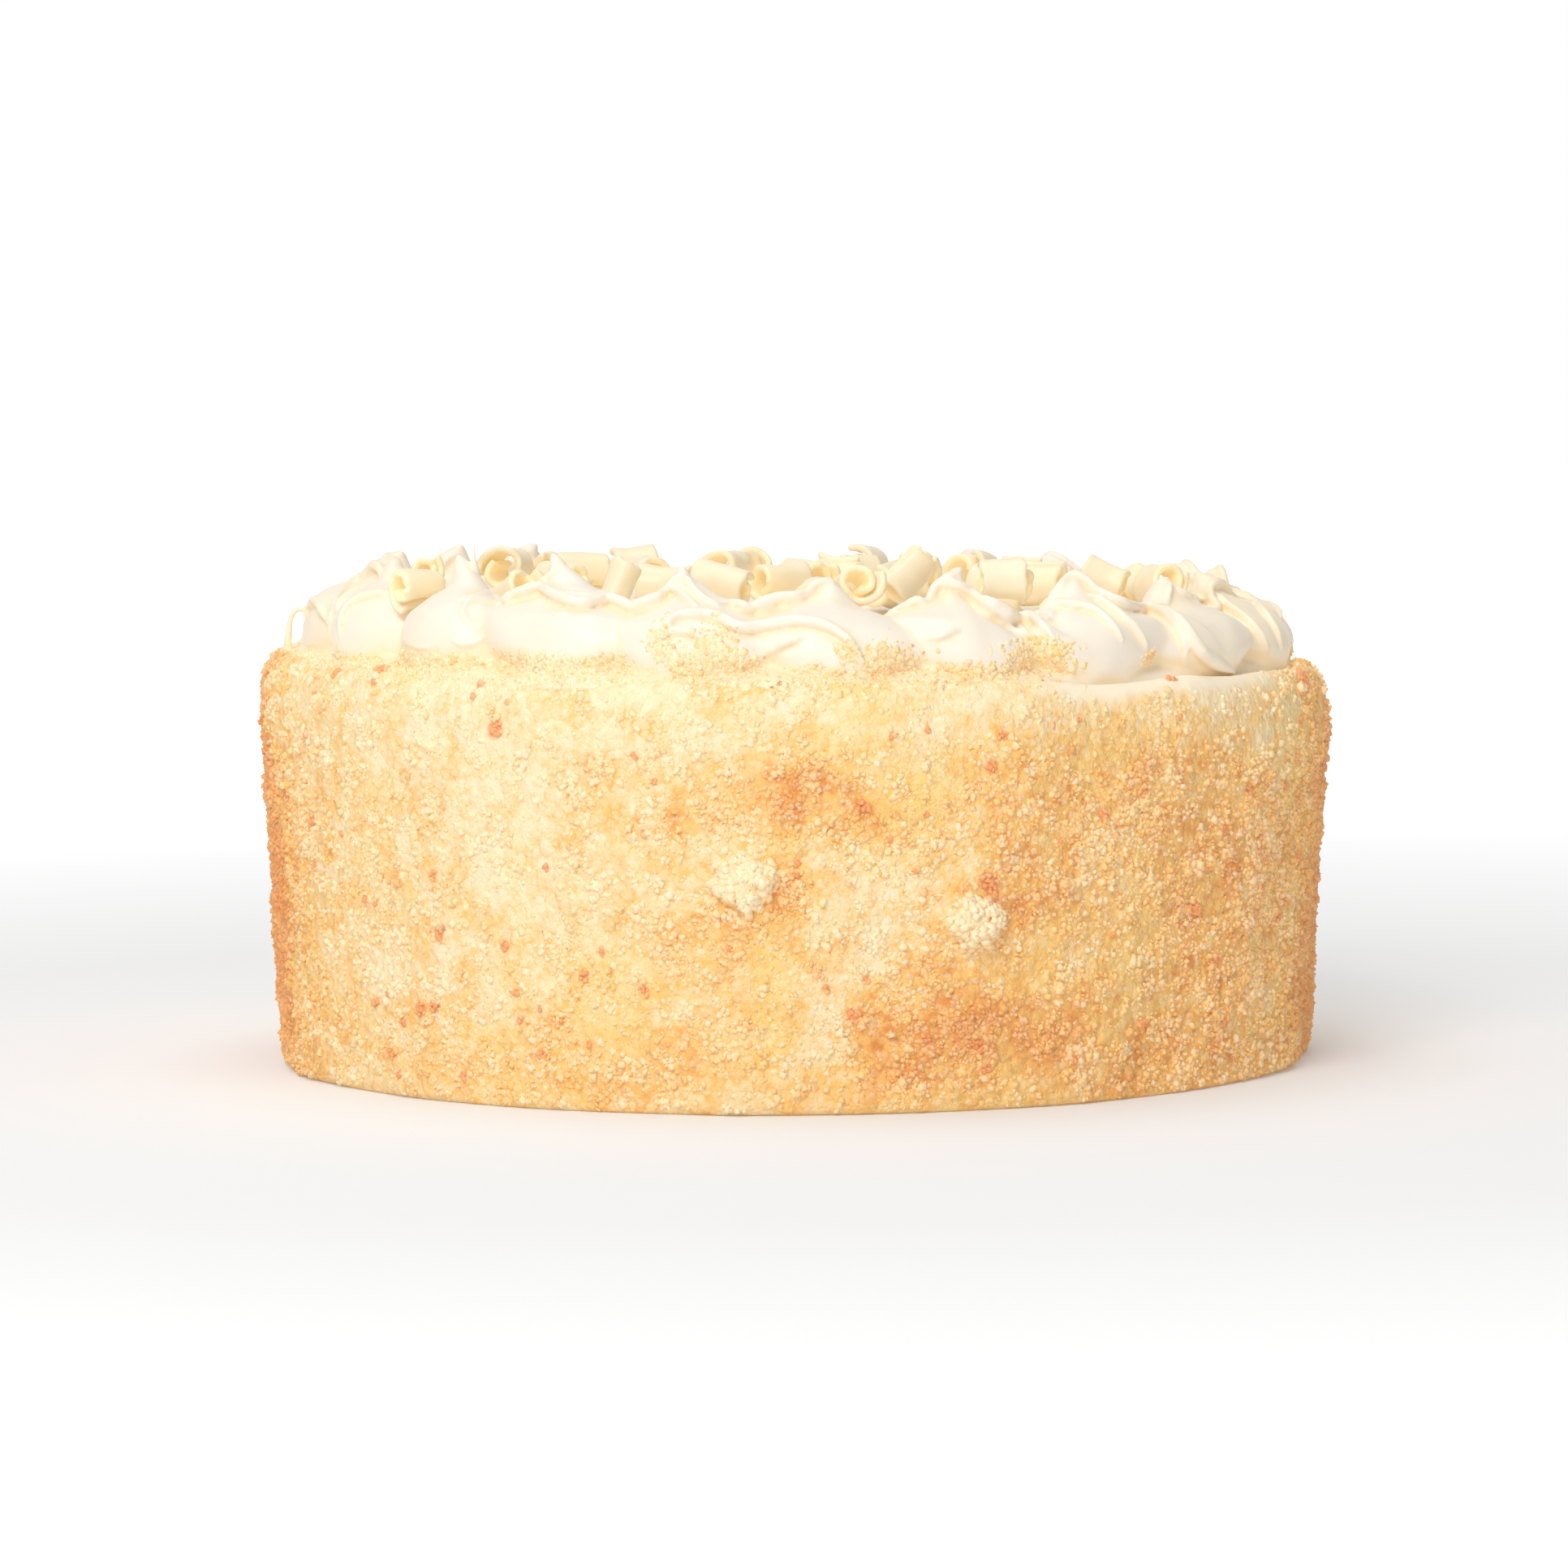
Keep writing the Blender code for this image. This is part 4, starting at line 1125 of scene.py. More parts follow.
@dataclass
class PipedRing:
    """The 22 dollops, fused as soft cream, with the folds that piping leaves."""

    plan: CakePlan
    sight: Sight = Sight()
    voxel: float = 0.36
    overhang: float = 0.70
    undercut: float = 1.10
    budget: int = 196000
    sides: int = 64
    levels: int = 44
    outer_radius: float = 82.0
    bed_radius: float = 71.0
    item: bpy.types.Object | None = None

    @staticmethod
    def width(share: Values) -> Values:
        """Return a dollop's width at shares of its height, where 1 is its widest."""
        low = 0.93 + 0.07 * np.sin(np.radians(90.0) * np.clip(share, 0.0, 0.2) / 0.2)
        rise = np.clip((share - 0.2) / 0.8, 0.0, 1.0)
        cone = (1.0 - rise) ** 1.2 * (1.0 + 1.1 * rise)
        cone = cone * (1.0 - 0.46 * np.sin(math.pi * np.clip((rise - 0.36) / 0.64, 0.0, 1.0)) ** 2)
        lip = 0.022 * np.exp(-((share - 0.63) / 0.05) ** 2)
        crease = 0.026 * np.exp(-((share - 0.54) / 0.05) ** 2)
        return np.where(share < 0.2, low, cone + lip - crease)

    def dollop(self, number: int, shape: Dollop) -> bpy.types.Object:
        """Shape a ball into one dollop, uncut, so that it runs into its neighbours.

        Args:
            number: Counts the dollops, and makes each uneven in its own way.
            shape: Its grooves, size and lean.

        Returns:
            The dollop.
        """
        item = Bench.ball(f"dollop_{number}", self.sides, self.levels)
        ball = Bench.points(item)
        rise = np.degrees(np.arcsin(np.clip(ball[:, 2], -1.0, 1.0))) / 180.0 + 0.5
        share = rise * 1.12 - 0.12
        turn = np.arctan2(ball[:, 0], -ball[:, 1])
        girth = self.width(share) * np.clip(rise / 0.08, 0.0, 1.0)
        girth = np.where(rise > 0.999, 0.0, girth)
        half = self.plan.ring_radius * math.sin(math.radians(shape.half))
        tilt = 0.09 * np.sin(math.pi * share) * np.cos(turn - shape.fold_turn)
        lifted = share + np.where(share > 0.0, tilt, 0.0)
        bulge = np.sin(math.pi * np.clip(share, 0.0, 1.0))
        widen = self.plan.dollop_widen + shape.spread * bulge
        lean = np.clip(share, 0.0, 1.0) ** 2
        across = girth * np.sin(turn) * half * widen + shape.lean_side * lean
        along = (self.plan.ring_radius + girth * np.cos(turn) * self.plan.dollop_reach
                 - self.inset(shape.middle) + shape.lean_out * lean)
        out, side = self.plan.outward(shape.middle)
        spots = along[:, None] * np.array(out) + across[:, None] * np.array(side)
        spots[:, 2] = self.plan.layer_top + self.plan.gap + self.rise(shape) * lifted
        spots[:, 2] *= 1.0 - self.plan.top_slope * spots[:, 0]
        foot = self.plan.rim_rise(np.array([shape.middle]))[0]
        spots[:, 2] += foot * step(0.35, 0.0, share)
        Bench.move(item, spots)
        normals = Bench.normals(item)
        uneven = 0.55 * ripple(spots, 9.0, 3.1 * number) + 0.20 * ripple(spots, 4.0, 1.7 * number)
        calm = np.clip((0.92 - share) / 0.2, 0.0, 1.0)
        Bench.move(item, spots + normals * (uneven * calm)[:, None])
        return item

    @staticmethod
    def inset(middle: float) -> float:
        """Return how far inwards a dollop on the left stands."""
        return 2.6 * math.exp(-(turn_gap(middle, -86.0) / 22.0) ** 2)

    @staticmethod
    def rise(shape: Dollop) -> float:
        """Return how high a dollop stands once it has settled, which is least on the left."""
        away = 0.8 if abs(turn_gap(shape.middle, 0.0)) > 85.0 else 0.0
        left = 2.4 * math.exp(-(turn_gap(shape.middle, -88.0) / 17.0) ** 2)
        return shape.height - 0.8 - away - left

    def nib(self, number: int, shape: Dollop) -> bpy.types.Object:
        """Draw out the small pointed tip that the nozzle leaves on a dollop."""
        dice = random.Random(700 + number)
        out, side = self.plan.outward(shape.middle)
        top = out * (self.plan.ring_radius + shape.lean_out) + side * shape.lean_side
        top -= out * self.inset(shape.middle)
        top.z = self.plan.layer_top + self.plan.gap + self.rise(shape)
        top.z *= 1.0 - self.plan.top_slope * top.x
        hang = out * dice.uniform(-2.0, 0.8) + side * dice.uniform(-2.2, 2.2)
        tip = dice.uniform(-0.9, 0.1)
        end = top + hang + Vector((0.0, 0.0, tip))
        if number in NIBS:
            end = self.sight.at_depth(*NIBS[number], top.y)
        hang = Vector((end.x - top.x, end.y - top.y, 0.0))
        lift = end.z - top.z
        path = [top + Vector((0.0, 0.0, -3.6)),
                top + hang * 0.2 + Vector((0.0, 0.0, -1.8 + 0.1 * lift)),
                top + hang * 0.6 + Vector((0.0, 0.0, -0.5 + 0.5 * lift)), end]
        return self.strand(f"nib_{number}", np.array(path), (2.9, 1.9, 1.1, 0.4), 12)

    def strand(self, name: str, path: Points, girths: Sequence[float],
               count: int = 40) -> bpy.types.Object:
        """Lay a round strand of cream along a path.

        Args:
            name: Names the strand.
            path: The points that it passes.
            girths: Its radii along the way, evenly spaced.
            count: How many points the strand gets.

        Returns:
            The strand, as a mesh.
        """
        line = smooth_path(path, count)
        spread = np.interp(np.linspace(0.0, 1.0, count), np.linspace(0.0, 1.0, len(girths)), girths)
        Bench.clear()
        bpy.ops.curve.primitive_bezier_curve_add()
        item = Bench.take(name)
        curve = item.data
        curve.splines.clear()
        spline = curve.splines.new('POLY')
        spline.points.add(count - 1)
        for point, spot, girth in zip(spline.points, line, spread):
            point.co = (*spot, 1.0)
            point.radius = girth
        curve.dimensions = '3D'
        curve.bevel_depth = 1.0
        curve.bevel_resolution = 3
        curve.use_fill_caps = True
        Bench.pick(item)
        bpy.ops.object.convert(target='MESH')
        return Bench.take(name)

    def on_surface(self, tree: BVHTree, azimuth: float, height: float) -> Vector | None:
        """Return where a level line from outside first meets the cream."""
        start, aim = self.plan.outside(azimuth, height)
        for drop in range(12):
            spot = tree.ray_cast(start + Vector((0.0, 0.0, -0.35 * drop)), aim, 70.0)[0]
            if spot is not None:
                return spot
        return None

    def trace(self, tree: BVHTree, shape: Fold) -> Points | None:
        """Return the points on the dollops that a fold passes, or None if it misses them."""
        spots = []
        for first, second in smooth_path(shape.path, 8 * len(shape.path)):
            if shape.seen:
                spot = self.sight.meet(tree, first, second)
            else:
                spot = self.on_surface(tree, first, second / self.plan.slope(first))
            if spot is not None:
                spots.append(spot)
        if len(spots) < 4:
            return None
        line = np.array(spots)
        for _ in range(5):
            line[1:-1] = 0.25 * line[:-2] + 0.5 * line[1:-1] + 0.25 * line[2:]
        return line

    def fold(self, name: str, tree: BVHTree, shape: Fold) -> bpy.types.Object | None:
        """Lay one fold on the dollops' outer side, thin at both ends."""
        line = self.trace(tree, shape)
        if line is None:
            return None
        line[:, :2] *= 1.0 + 0.26 * shape.thickness / np.hypot(line[:, 0], line[:, 1])[:, None]
        line[:, 2] += 0.10 * shape.thickness
        girth = 0.50 * shape.thickness
        return self.strand(name, line, (0.3 * girth, 0.9 * girth, girth, girth, 0.9 * girth,
                                        0.3 * girth), 3 * len(line))

    def drawn(self, number: int, shape: Drawn) -> bpy.types.Object:
        """Make one of the listed free strands."""
        path = np.array([self.sight.at_depth(*spot, shape.depth) for spot in shape.path])
        return self.strand(f"drawn_{number}", path, shape.girths, 28)

    def press(self, item: bpy.types.Object, tree: BVHTree, folds: Sequence[Fold]) -> None:
        """Lay the cream above each fold a little over the cream below it."""
        points, normals = Bench.points(item), Bench.normals(item)
        azimuth = self.plan.azimuths(points)
        outer = step(62.0, 68.0, np.hypot(points[:, 0], points[:, 1]))
        shift = np.zeros(len(points))
        for shape in folds:
            line = self.trace(tree, shape)
            if line is None:
                continue
            turn = self.plan.azimuths(line)
            middle = float(turn.mean())
            gap = turn_gap(azimuth, middle)
            near = np.flatnonzero((np.abs(gap) < np.ptp(turn) / 2.0 + 9.0) & (outer > 0.0))
            flat = np.stack([np.radians(gap[near]) * self.outer_radius, points[near, 2]], 1)
            around = np.radians(turn_gap(turn, middle)) * self.outer_radius
            path = np.stack([around, line[:, 2]], 1)
            along = np.gradient(path, axis=0)
            away = flat[:, None] - path[None]
            nearest = np.argmin((away ** 2).sum(axis=2), axis=1)
            away = away[np.arange(len(near)), nearest]
            reach = np.hypot(away[:, 0], away[:, 1])
            above = along[nearest, 0] * away[:, 1] - along[nearest, 1] * away[:, 0] > 0.0
            fade = np.sin(math.pi * (nearest + 0.5) / len(path)) ** 0.6
            depth = shape.press * shape.thickness / 1.6
            shift[near] += fade * depth * np.where(above, self.overhang * np.exp(-reach / 2.8),
                                                   -self.undercut * np.exp(-reach / 1.6))
        Bench.move(item, points + normals * (np.clip(shift, -1.9, 1.5) * outer)[:, None])

    def back_folds(self) -> list[Fold]:
        """Return folds for the dollops that the photo does not show, in the front's manner."""
        folds = []
        dice = random.Random(91)
        for shape in self.plan.dollops()[len(self.plan.front_dollops):]:
            middle, wide = shape.middle, shape.half
            tip = middle + math.degrees(shape.lean_side / self.plan.ring_radius)
            base = self.plan.layer_top
            crest = base + shape.height * dice.uniform(0.80, 0.90)
            saddle = base + shape.height * dice.uniform(0.60, 0.70)
            foot = base + shape.height * dice.uniform(0.25, 0.45)
            left = ((middle - 1.15 * wide, saddle), (middle - 0.7 * wide, saddle + 1.0),
                    (tip - 0.22 * wide, crest), (tip + 0.2 * wide, crest))
            right = ((middle + 0.55 * wide, saddle + 0.6), (middle + 0.85 * wide, saddle - 2.4),
                     (middle + 0.98 * wide, foot))
            folds.append(Fold(left + right, dice.uniform(1.4, 1.8)))
            if dice.random() < 0.65:
                slip = dice.uniform(-0.2, 0.3) * wide
                low = base + shape.height * dice.uniform(0.50, 0.58)
                folds.append(Fold(((middle - 0.8 * wide + slip, low - 2.0),
                                   (middle - 0.3 * wide + slip, low),
                                   (middle + 0.2 * wide + slip, low - 0.4),
                                   (middle + 0.7 * wide + slip, low - 3.2)),
                                  dice.uniform(1.0, 1.4)))
        return folds

    def bed(self) -> bpy.types.Object:
        """Make the flat band of cream that the dollops stand on."""
        Bench.clear()
        bpy.ops.mesh.primitive_torus_add(major_segments=180, minor_segments=16,
                                         major_radius=self.bed_radius, minor_radius=1.0)
        item = Bench.take("bed")
        ring = Bench.points(item)
        radius = np.hypot(ring[:, 0], ring[:, 1])
        azimuth = self.plan.azimuths(ring)
        clean = step(24.0, 32.0, azimuth) * step(78.0, 68.0, azimuth)
        fray = ripple(ring * np.array([1.0, 1.0, 0.0]), 7.0, 71.0)
        outer = 14.6 - 2.9 * clean + 0.7 * fray
        off = radius - self.bed_radius
        spread = self.bed_radius + off * np.where(off > 0.0, outer, 13.0)
        height = np.where(ring[:, 2] > 0.0, 4.4, 0.8) * ring[:, 2]
        height = height + 64.9 + self.plan.rim_rise(azimuth)
        Bench.move(item, self.plan.place(azimuth, spread, height))
        return item

    def build(self) -> bpy.types.Object:
        """Fuse dollops, nibs, folds and bed, and smooth them."""
        plans = self.plan.dollops()
        parts = [self.dollop(number, shape) for number, shape in enumerate(plans)]
        body = Bench.join("dollops", parts + [self.bed()])
        Bench.apply(body, 'REMESH', mode='VOXEL', voxel_size=self.voxel * 1.4)
        Bench.apply(body, 'SMOOTH', factor=0.5, iterations=4)
        folds = FRONT_FOLDS + tuple(self.back_folds())
        self.press(body, Bench.surface(body), folds)
        Bench.apply(body, 'SMOOTH', factor=0.5, iterations=1)
        tree = Bench.surface(body)
        strands = [self.fold(f"fold_{number}", tree, shape) for number, shape in enumerate(folds)]
        parts = [body] + [item for item in strands if item is not None]
        parts += [self.nib(number, shape) for number, shape in enumerate(plans)]
        parts += [self.drawn(number, shape) for number, shape in enumerate(STRANDS)]
        item = Bench.join("piped_cream", parts)
        Bench.apply(item, 'REMESH', mode='VOXEL', voxel_size=self.voxel)
        Bench.apply(item, 'SMOOTH', factor=0.5, iterations=2)
        faces = 2 * len(item.data.polygons)
        LOG.info("piped_cream: %d triangles before thinning", faces)
        if faces > self.budget:
            Bench.apply(item, 'DECIMATE', ratio=self.budget / faces)
        Bench.soften(item, 180.0)
        self._smear(item)
        self._shade(item)
        self.item = item
        return item

    def _shade(self, item: bpy.types.Object) -> None:
        """Keep the cream's painted shade, 0 to 1: most in its hollows, and a little at its left and
        right sides, more on the right.
        """
        azimuth = self.plan.azimuths(Bench.points(item))
        turn = np.abs(azimuth)
        # Painted shade at the left and right sides, stronger on the right.
        side = np.where(azimuth > 0.0, 0.70, 0.45)
        aside = side * step(40.0, 72.0, turn) * step(135.0, 100.0, turn)
        deep = np.clip(Bench.hollows(item, 10) / 0.16, 0.0, 1.0)
        Bench.paint(item, "hollow", np.clip(deep + aside, 0.0, 1.0))

    def _smear(self, item: bpy.types.Object) -> None:
        """Keep where fine crumb is rubbed into the dollops' feet, 0 to 1."""
        points = Bench.points(item)
        azimuth = self.plan.azimuths(points)
        height = points[:, 2] / (1.0 - self.plan.top_slope * points[:, 0])
        clean = step(24.0, 32.0, azimuth) * step(78.0, 70.0, azimuth)
        top = 70.0 - 1.8 * step(-30.0, -14.0, azimuth) - 2.0 * step(-46.0, -60.0, azimuth)
        top = top + 1.4 * ripple(points, 7.0, 61.0)
        outer = step(78.0, 81.0, np.hypot(points[:, 0], points[:, 1]))
        low = step(top + 1.8, top - 2.2, height) * (1.0 - clean)
        spots = sum(Patch(*spot[:4], 0.9).over(azimuth, points[:, 2]) for spot in CRUMBED)
        Bench.paint(item, "smear", np.clip(low + spots, 0.0, 1.0) * outer)

    def dress(self, finish: bpy.types.Material) -> bpy.types.Object:
        """Hand the ring over in place of the dollops."""
        names = [f"cream_dollop_{number:02d}" for number in range(1, DOLLOPS + 1)]
        return Bench.ship(self.item, finish, "whipped_cream", *names)


@dataclass
class CreamHeap:
    """The layer of whipped cream inside the ring, heaped up under the curls."""

    plan: CakePlan
    sides: int = 200
    levels: int = 120
    item: bpy.types.Object | None = None

    def build(self) -> bpy.types.Object:
        """Press a ball flat into the layer, and swirl its top."""
        item = Bench.ball("cream_heap", self.sides, self.levels)
        ball = Bench.points(item)
        edge = self.plan.recess_radius - 0.6
        rise = np.degrees(np.arcsin(np.clip(ball[:, 2], -1.0, 1.0))) / 90.0
        radius = edge * (1.0 - np.abs(rise))
        azimuth = self.plan.azimuths(ball)
        top = self.plan.cream_height(radius)
        spots = self.plan.place(azimuth, radius, top)
        swirl = 1.2 * ripple(spots, 11.0, 6.0) + 0.60 * ripple(spots, 4.5, 8.0)
        top = top + swirl * step(58.0, 50.0, radius)
        height = np.where(rise >= 0.0, top, 64.1)
        Bench.move(item, self.plan.place(azimuth, radius, height))
        Bench.soften(item, 60.0)
        # Painted shade in the heap's hollows.
        Bench.paint(item, "hollow", np.clip(Bench.hollows(item, 6) / 0.2, 0.0, 1.0))
        self.item = item
        return item

    def dress(self, finish: bpy.types.Material) -> bpy.types.Object:
        """Hand the heap over in place of the layer."""
        return Bench.ship(self.item, finish, "whipped_cream", "cream_layer")


# ---- rolled chocolate ----

@dataclass(frozen=True)
class CurlPose:
    """How one packed curl lies."""

    centre: Vector
    axis: Vector
    lip: Vector
    side: Vector
    radius: float
    length: float

    PITCH = 1.5
    WALL = 1.15
    TURNS = 1.22
    FACETS = 12

    @classmethod
    def outline(cls, radius: float) -> np.ndarray:
        """Return the corners of a packed curl's end, as complex numbers."""
        turn = math.tau * cls.TURNS * np.arange(cls.FACETS + 1) / cls.FACETS
        reach = radius - cls.PITCH * turn / math.tau
        return np.concatenate([reach, reach - cls.WALL]) * np.exp(1j * np.tile(turn, 2))

    @classmethod
    def of_node(cls, item: bpy.types.Object) -> "CurlPose":
        """Read how a curl lies from its solid.

        Args:
            item: The solid's object.

        Returns:
            Its pose and size.
        """
        points = np.unique(np.round(Bench.points(item) / MM, 3), axis=0)
        middle = points.mean(axis=0)
        spread = np.linalg.eigh(np.cov((points - middle).T))[1]
        axis, first = spread[:, 2], spread[:, 0]
        second = np.cross(axis, first)
        along = (points - middle) @ axis
        flat = (points - middle) @ first + 1j * ((points - middle) @ second)
        far = np.abs(flat[:, None] - flat[None, :]).max()
        radius = (far + cls.PITCH / 2.0) / 2.0
        best = (math.inf, 0.0, 1.0, 0j)
        for hand in (1.0, -1.0):
            shape = cls.outline(radius)
            shape = shape if hand > 0.0 else shape.conj()
            for roll in np.radians(np.arange(0.0, 360.0, 5.0)):
                turned = shape * np.exp(1j * roll)
                shift = flat.mean() - turned.mean()
                miss = np.abs(flat[:, None] - (turned + shift)[None, :]).min(axis=1).sum()
                best = min(best, (miss, roll, hand, shift), key=lambda entry: entry[0])
        _, roll, hand, shift = best
        lip = first * math.cos(roll) + second * math.sin(roll)
        side = np.cross(axis, lip) * hand
        centre = middle + first * shift.real + second * shift.imag
        return cls(Vector(centre), Vector(axis), Vector(lip), Vector(side), radius,
                   float(along.max() - along.min()))


@dataclass(frozen=True)
class Nestling:
    """How a curl has settled at its solid's place: its sinking, roll, and share of its size."""

    sink: float = 0.0
    roll: float = 0.0
    girth: float = 1.0
    length: float = 0.88


NESTLED = {
    1: Nestling(1.7, 20.0, 0.90, 0.98), 2: Nestling(0.9, 0.0, 0.95, 0.90),
    3: Nestling(1.0, 0.0, 0.90, 0.80), 4: Nestling(0.3, 40.0, 0.95, 0.92),
    5: Nestling(0.0, 0.0, 0.98, 0.82), 6: Nestling(0.9, 60.0, 0.84, 0.95),
    7: Nestling(0.4, 0.0, 0.94, 0.78), 8: Nestling(1.0, 90.0, 0.88, 0.76),
    11: Nestling(1.0, -20.0, 0.84, 0.98), 13: Nestling(1.0, 0.0, 0.98, 0.80),
    14: Nestling(1.3, 0.0, 0.98, 1.02), 16: Nestling(1.2, 0.0, 0.92, 0.80),
    34: Nestling(1.7, 0.0, 0.86, 0.80),
}


@dataclass
class RolledCurl:
    """A shaving of white chocolate, rolled up on itself."""

    number: int
    pose: CurlPose
    across: int = 36
    along: int = 8
    wall: float = 1.2
    item: bpy.types.Object | None = None

    def settled(self) -> CurlPose:
        """Return the curl's pose once it has sunk a little into the cream it lies on."""
        pose, look = self.pose, NESTLED.get(self.number, Nestling())
        turn = Matrix.Rotation(math.radians(look.roll), 3, pose.axis)
        return CurlPose(pose.centre - Vector((0.0, 0.0, look.sink)), pose.axis, turn @ pose.lip,
                        turn @ pose.side, look.girth * pose.radius, look.length * pose.length)

    def build(self) -> bpy.types.Object:
        """Roll a thin sheet up, give it its thickness and soften its edges."""
        dice = random.Random(300 + self.number)
        pose = self.settled()
        item = Bench.sheet(f"rolled_curl_{self.number:02d}", self.across, self.along)
        flat = Bench.points(item)
        share = (flat[:, 0] + 1.0) / 2.0
        turn = math.tau * (1.12 + dice.uniform(0.0, 0.28)) * share
        reach = pose.radius - self.wall / 2.0 - dice.uniform(1.35, 1.6) * turn / math.tau
        seed = 13.0 * self.number
        skewed = np.stack([6.0 * share, flat[:, 1], np.zeros(len(flat))], 1)
        reach = reach * (1.0 + 0.07 * np.cos(2.0 * turn + seed)) + 0.24 * ripple(skewed, 0.9, seed)
        taper = 1.0 + dice.choice((-1.0, 1.0)) * dice.uniform(0.04, 0.15) * flat[:, 1]
        reach = np.maximum(reach * taper, 0.35)
        row = np.stack([9.0 * share, share * 0.0, share * 0.0], 1)
        frayed = 1.0 + 0.16 * ripple(row, 1.0, seed)
        slip = dice.uniform(-1.3, 1.3) * (share - 0.5)
        along = flat[:, 1] * (pose.length / 2.0 - 0.3) * frayed + slip
        flare = 0.40 * np.abs(flat[:, 1]) ** 3 * (1.0 - share)
        bow = dice.uniform(-0.6, 0.6) * flat[:, 1] ** 2
        spots = (np.array(pose.centre) + np.outer(along, pose.axis)
                 + np.outer((reach + flare) * np.cos(turn) + bow, pose.lip)
                 + np.outer((reach + flare) * np.sin(turn), pose.side))
        Bench.move(item, spots)
        Bench.apply(item, 'SOLIDIFY', thickness=self.wall, offset=0.0, use_even_offset=True)
        Bench.apply(item, 'SUBSURF', levels=1, render_levels=1)
        with Bench.editing(item):
            bpy.ops.mesh.normals_make_consistent(inside=False)
        Bench.soften(item, 180.0)
        self._deepen(item, pose)
        self.item = item
        return item

    def _deepen(self, item: bpy.types.Object, pose: CurlPose) -> None:
        """Keep how deep inside the roll each point lies, 0 to 1, for the painted glow and shade
        there.
        """
        away = Bench.points(item) - np.array(pose.centre)
        away -= np.outer(away @ np.array(pose.axis), pose.axis)
        depth = 1.0 - np.linalg.norm(away, axis=1) / pose.radius
        Bench.paint(item, "deep", step(0.10, 0.55, depth))

    def dress(self, finish: bpy.types.Material) -> bpy.types.Object:
        """Hand the curl over in place of its solid."""
        return Bench.ship(self.item, finish, "white_chocolate", f"chocolate_curl_{self.number:02d}")


# ---- loose crumbs ----

@dataclass(frozen=True)
class Batch:
    """Loose crumbs of one kind: their count, range of radii, own colour and that colour's share."""

    name: str
    count: int
    least: float
    most: float
    light: Colour
    strength: float

    def sizes(self, total: int, dice: np.random.RandomState) -> Values:
        """Return random radii, more of them small than large."""
        return self.least + (self.most - self.least) * dice.uniform(size=total) ** 1.8


class CrumbKind(Enum):
    """The kinds of loose crumb."""

    PALE = Batch("crumbs_pale", 16200, 0.30, 0.72, (0.99, 0.86, 0.62), 0.44)
    CREAM = Batch("crumbs_cream", 16200, 0.28, 0.66, (0.99, 0.82, 0.53), 0.30)
    PEACH = Batch("crumbs_peach", 16200, 0.28, 0.62, (0.98, 0.70, 0.40), 0.16)
    GOLDEN = Batch("crumbs_golden", 16200, 0.28, 0.62, (0.97, 0.62, 0.26), 0.04)
    TOASTED = Batch("crumbs_toasted", 3000, 0.28, 0.60, (0.92, 0.48, 0.20), 0.55)
    DARK = Batch("crumbs_dark", 60, 0.24, 0.44, (0.58, 0.24, 0.10), 0.60)


@dataclass(frozen=True)
class Spots:
    """Places for loose crumbs: where, which way is out, and how large."""

    points: Points
    normals: Points
    sizes: Values


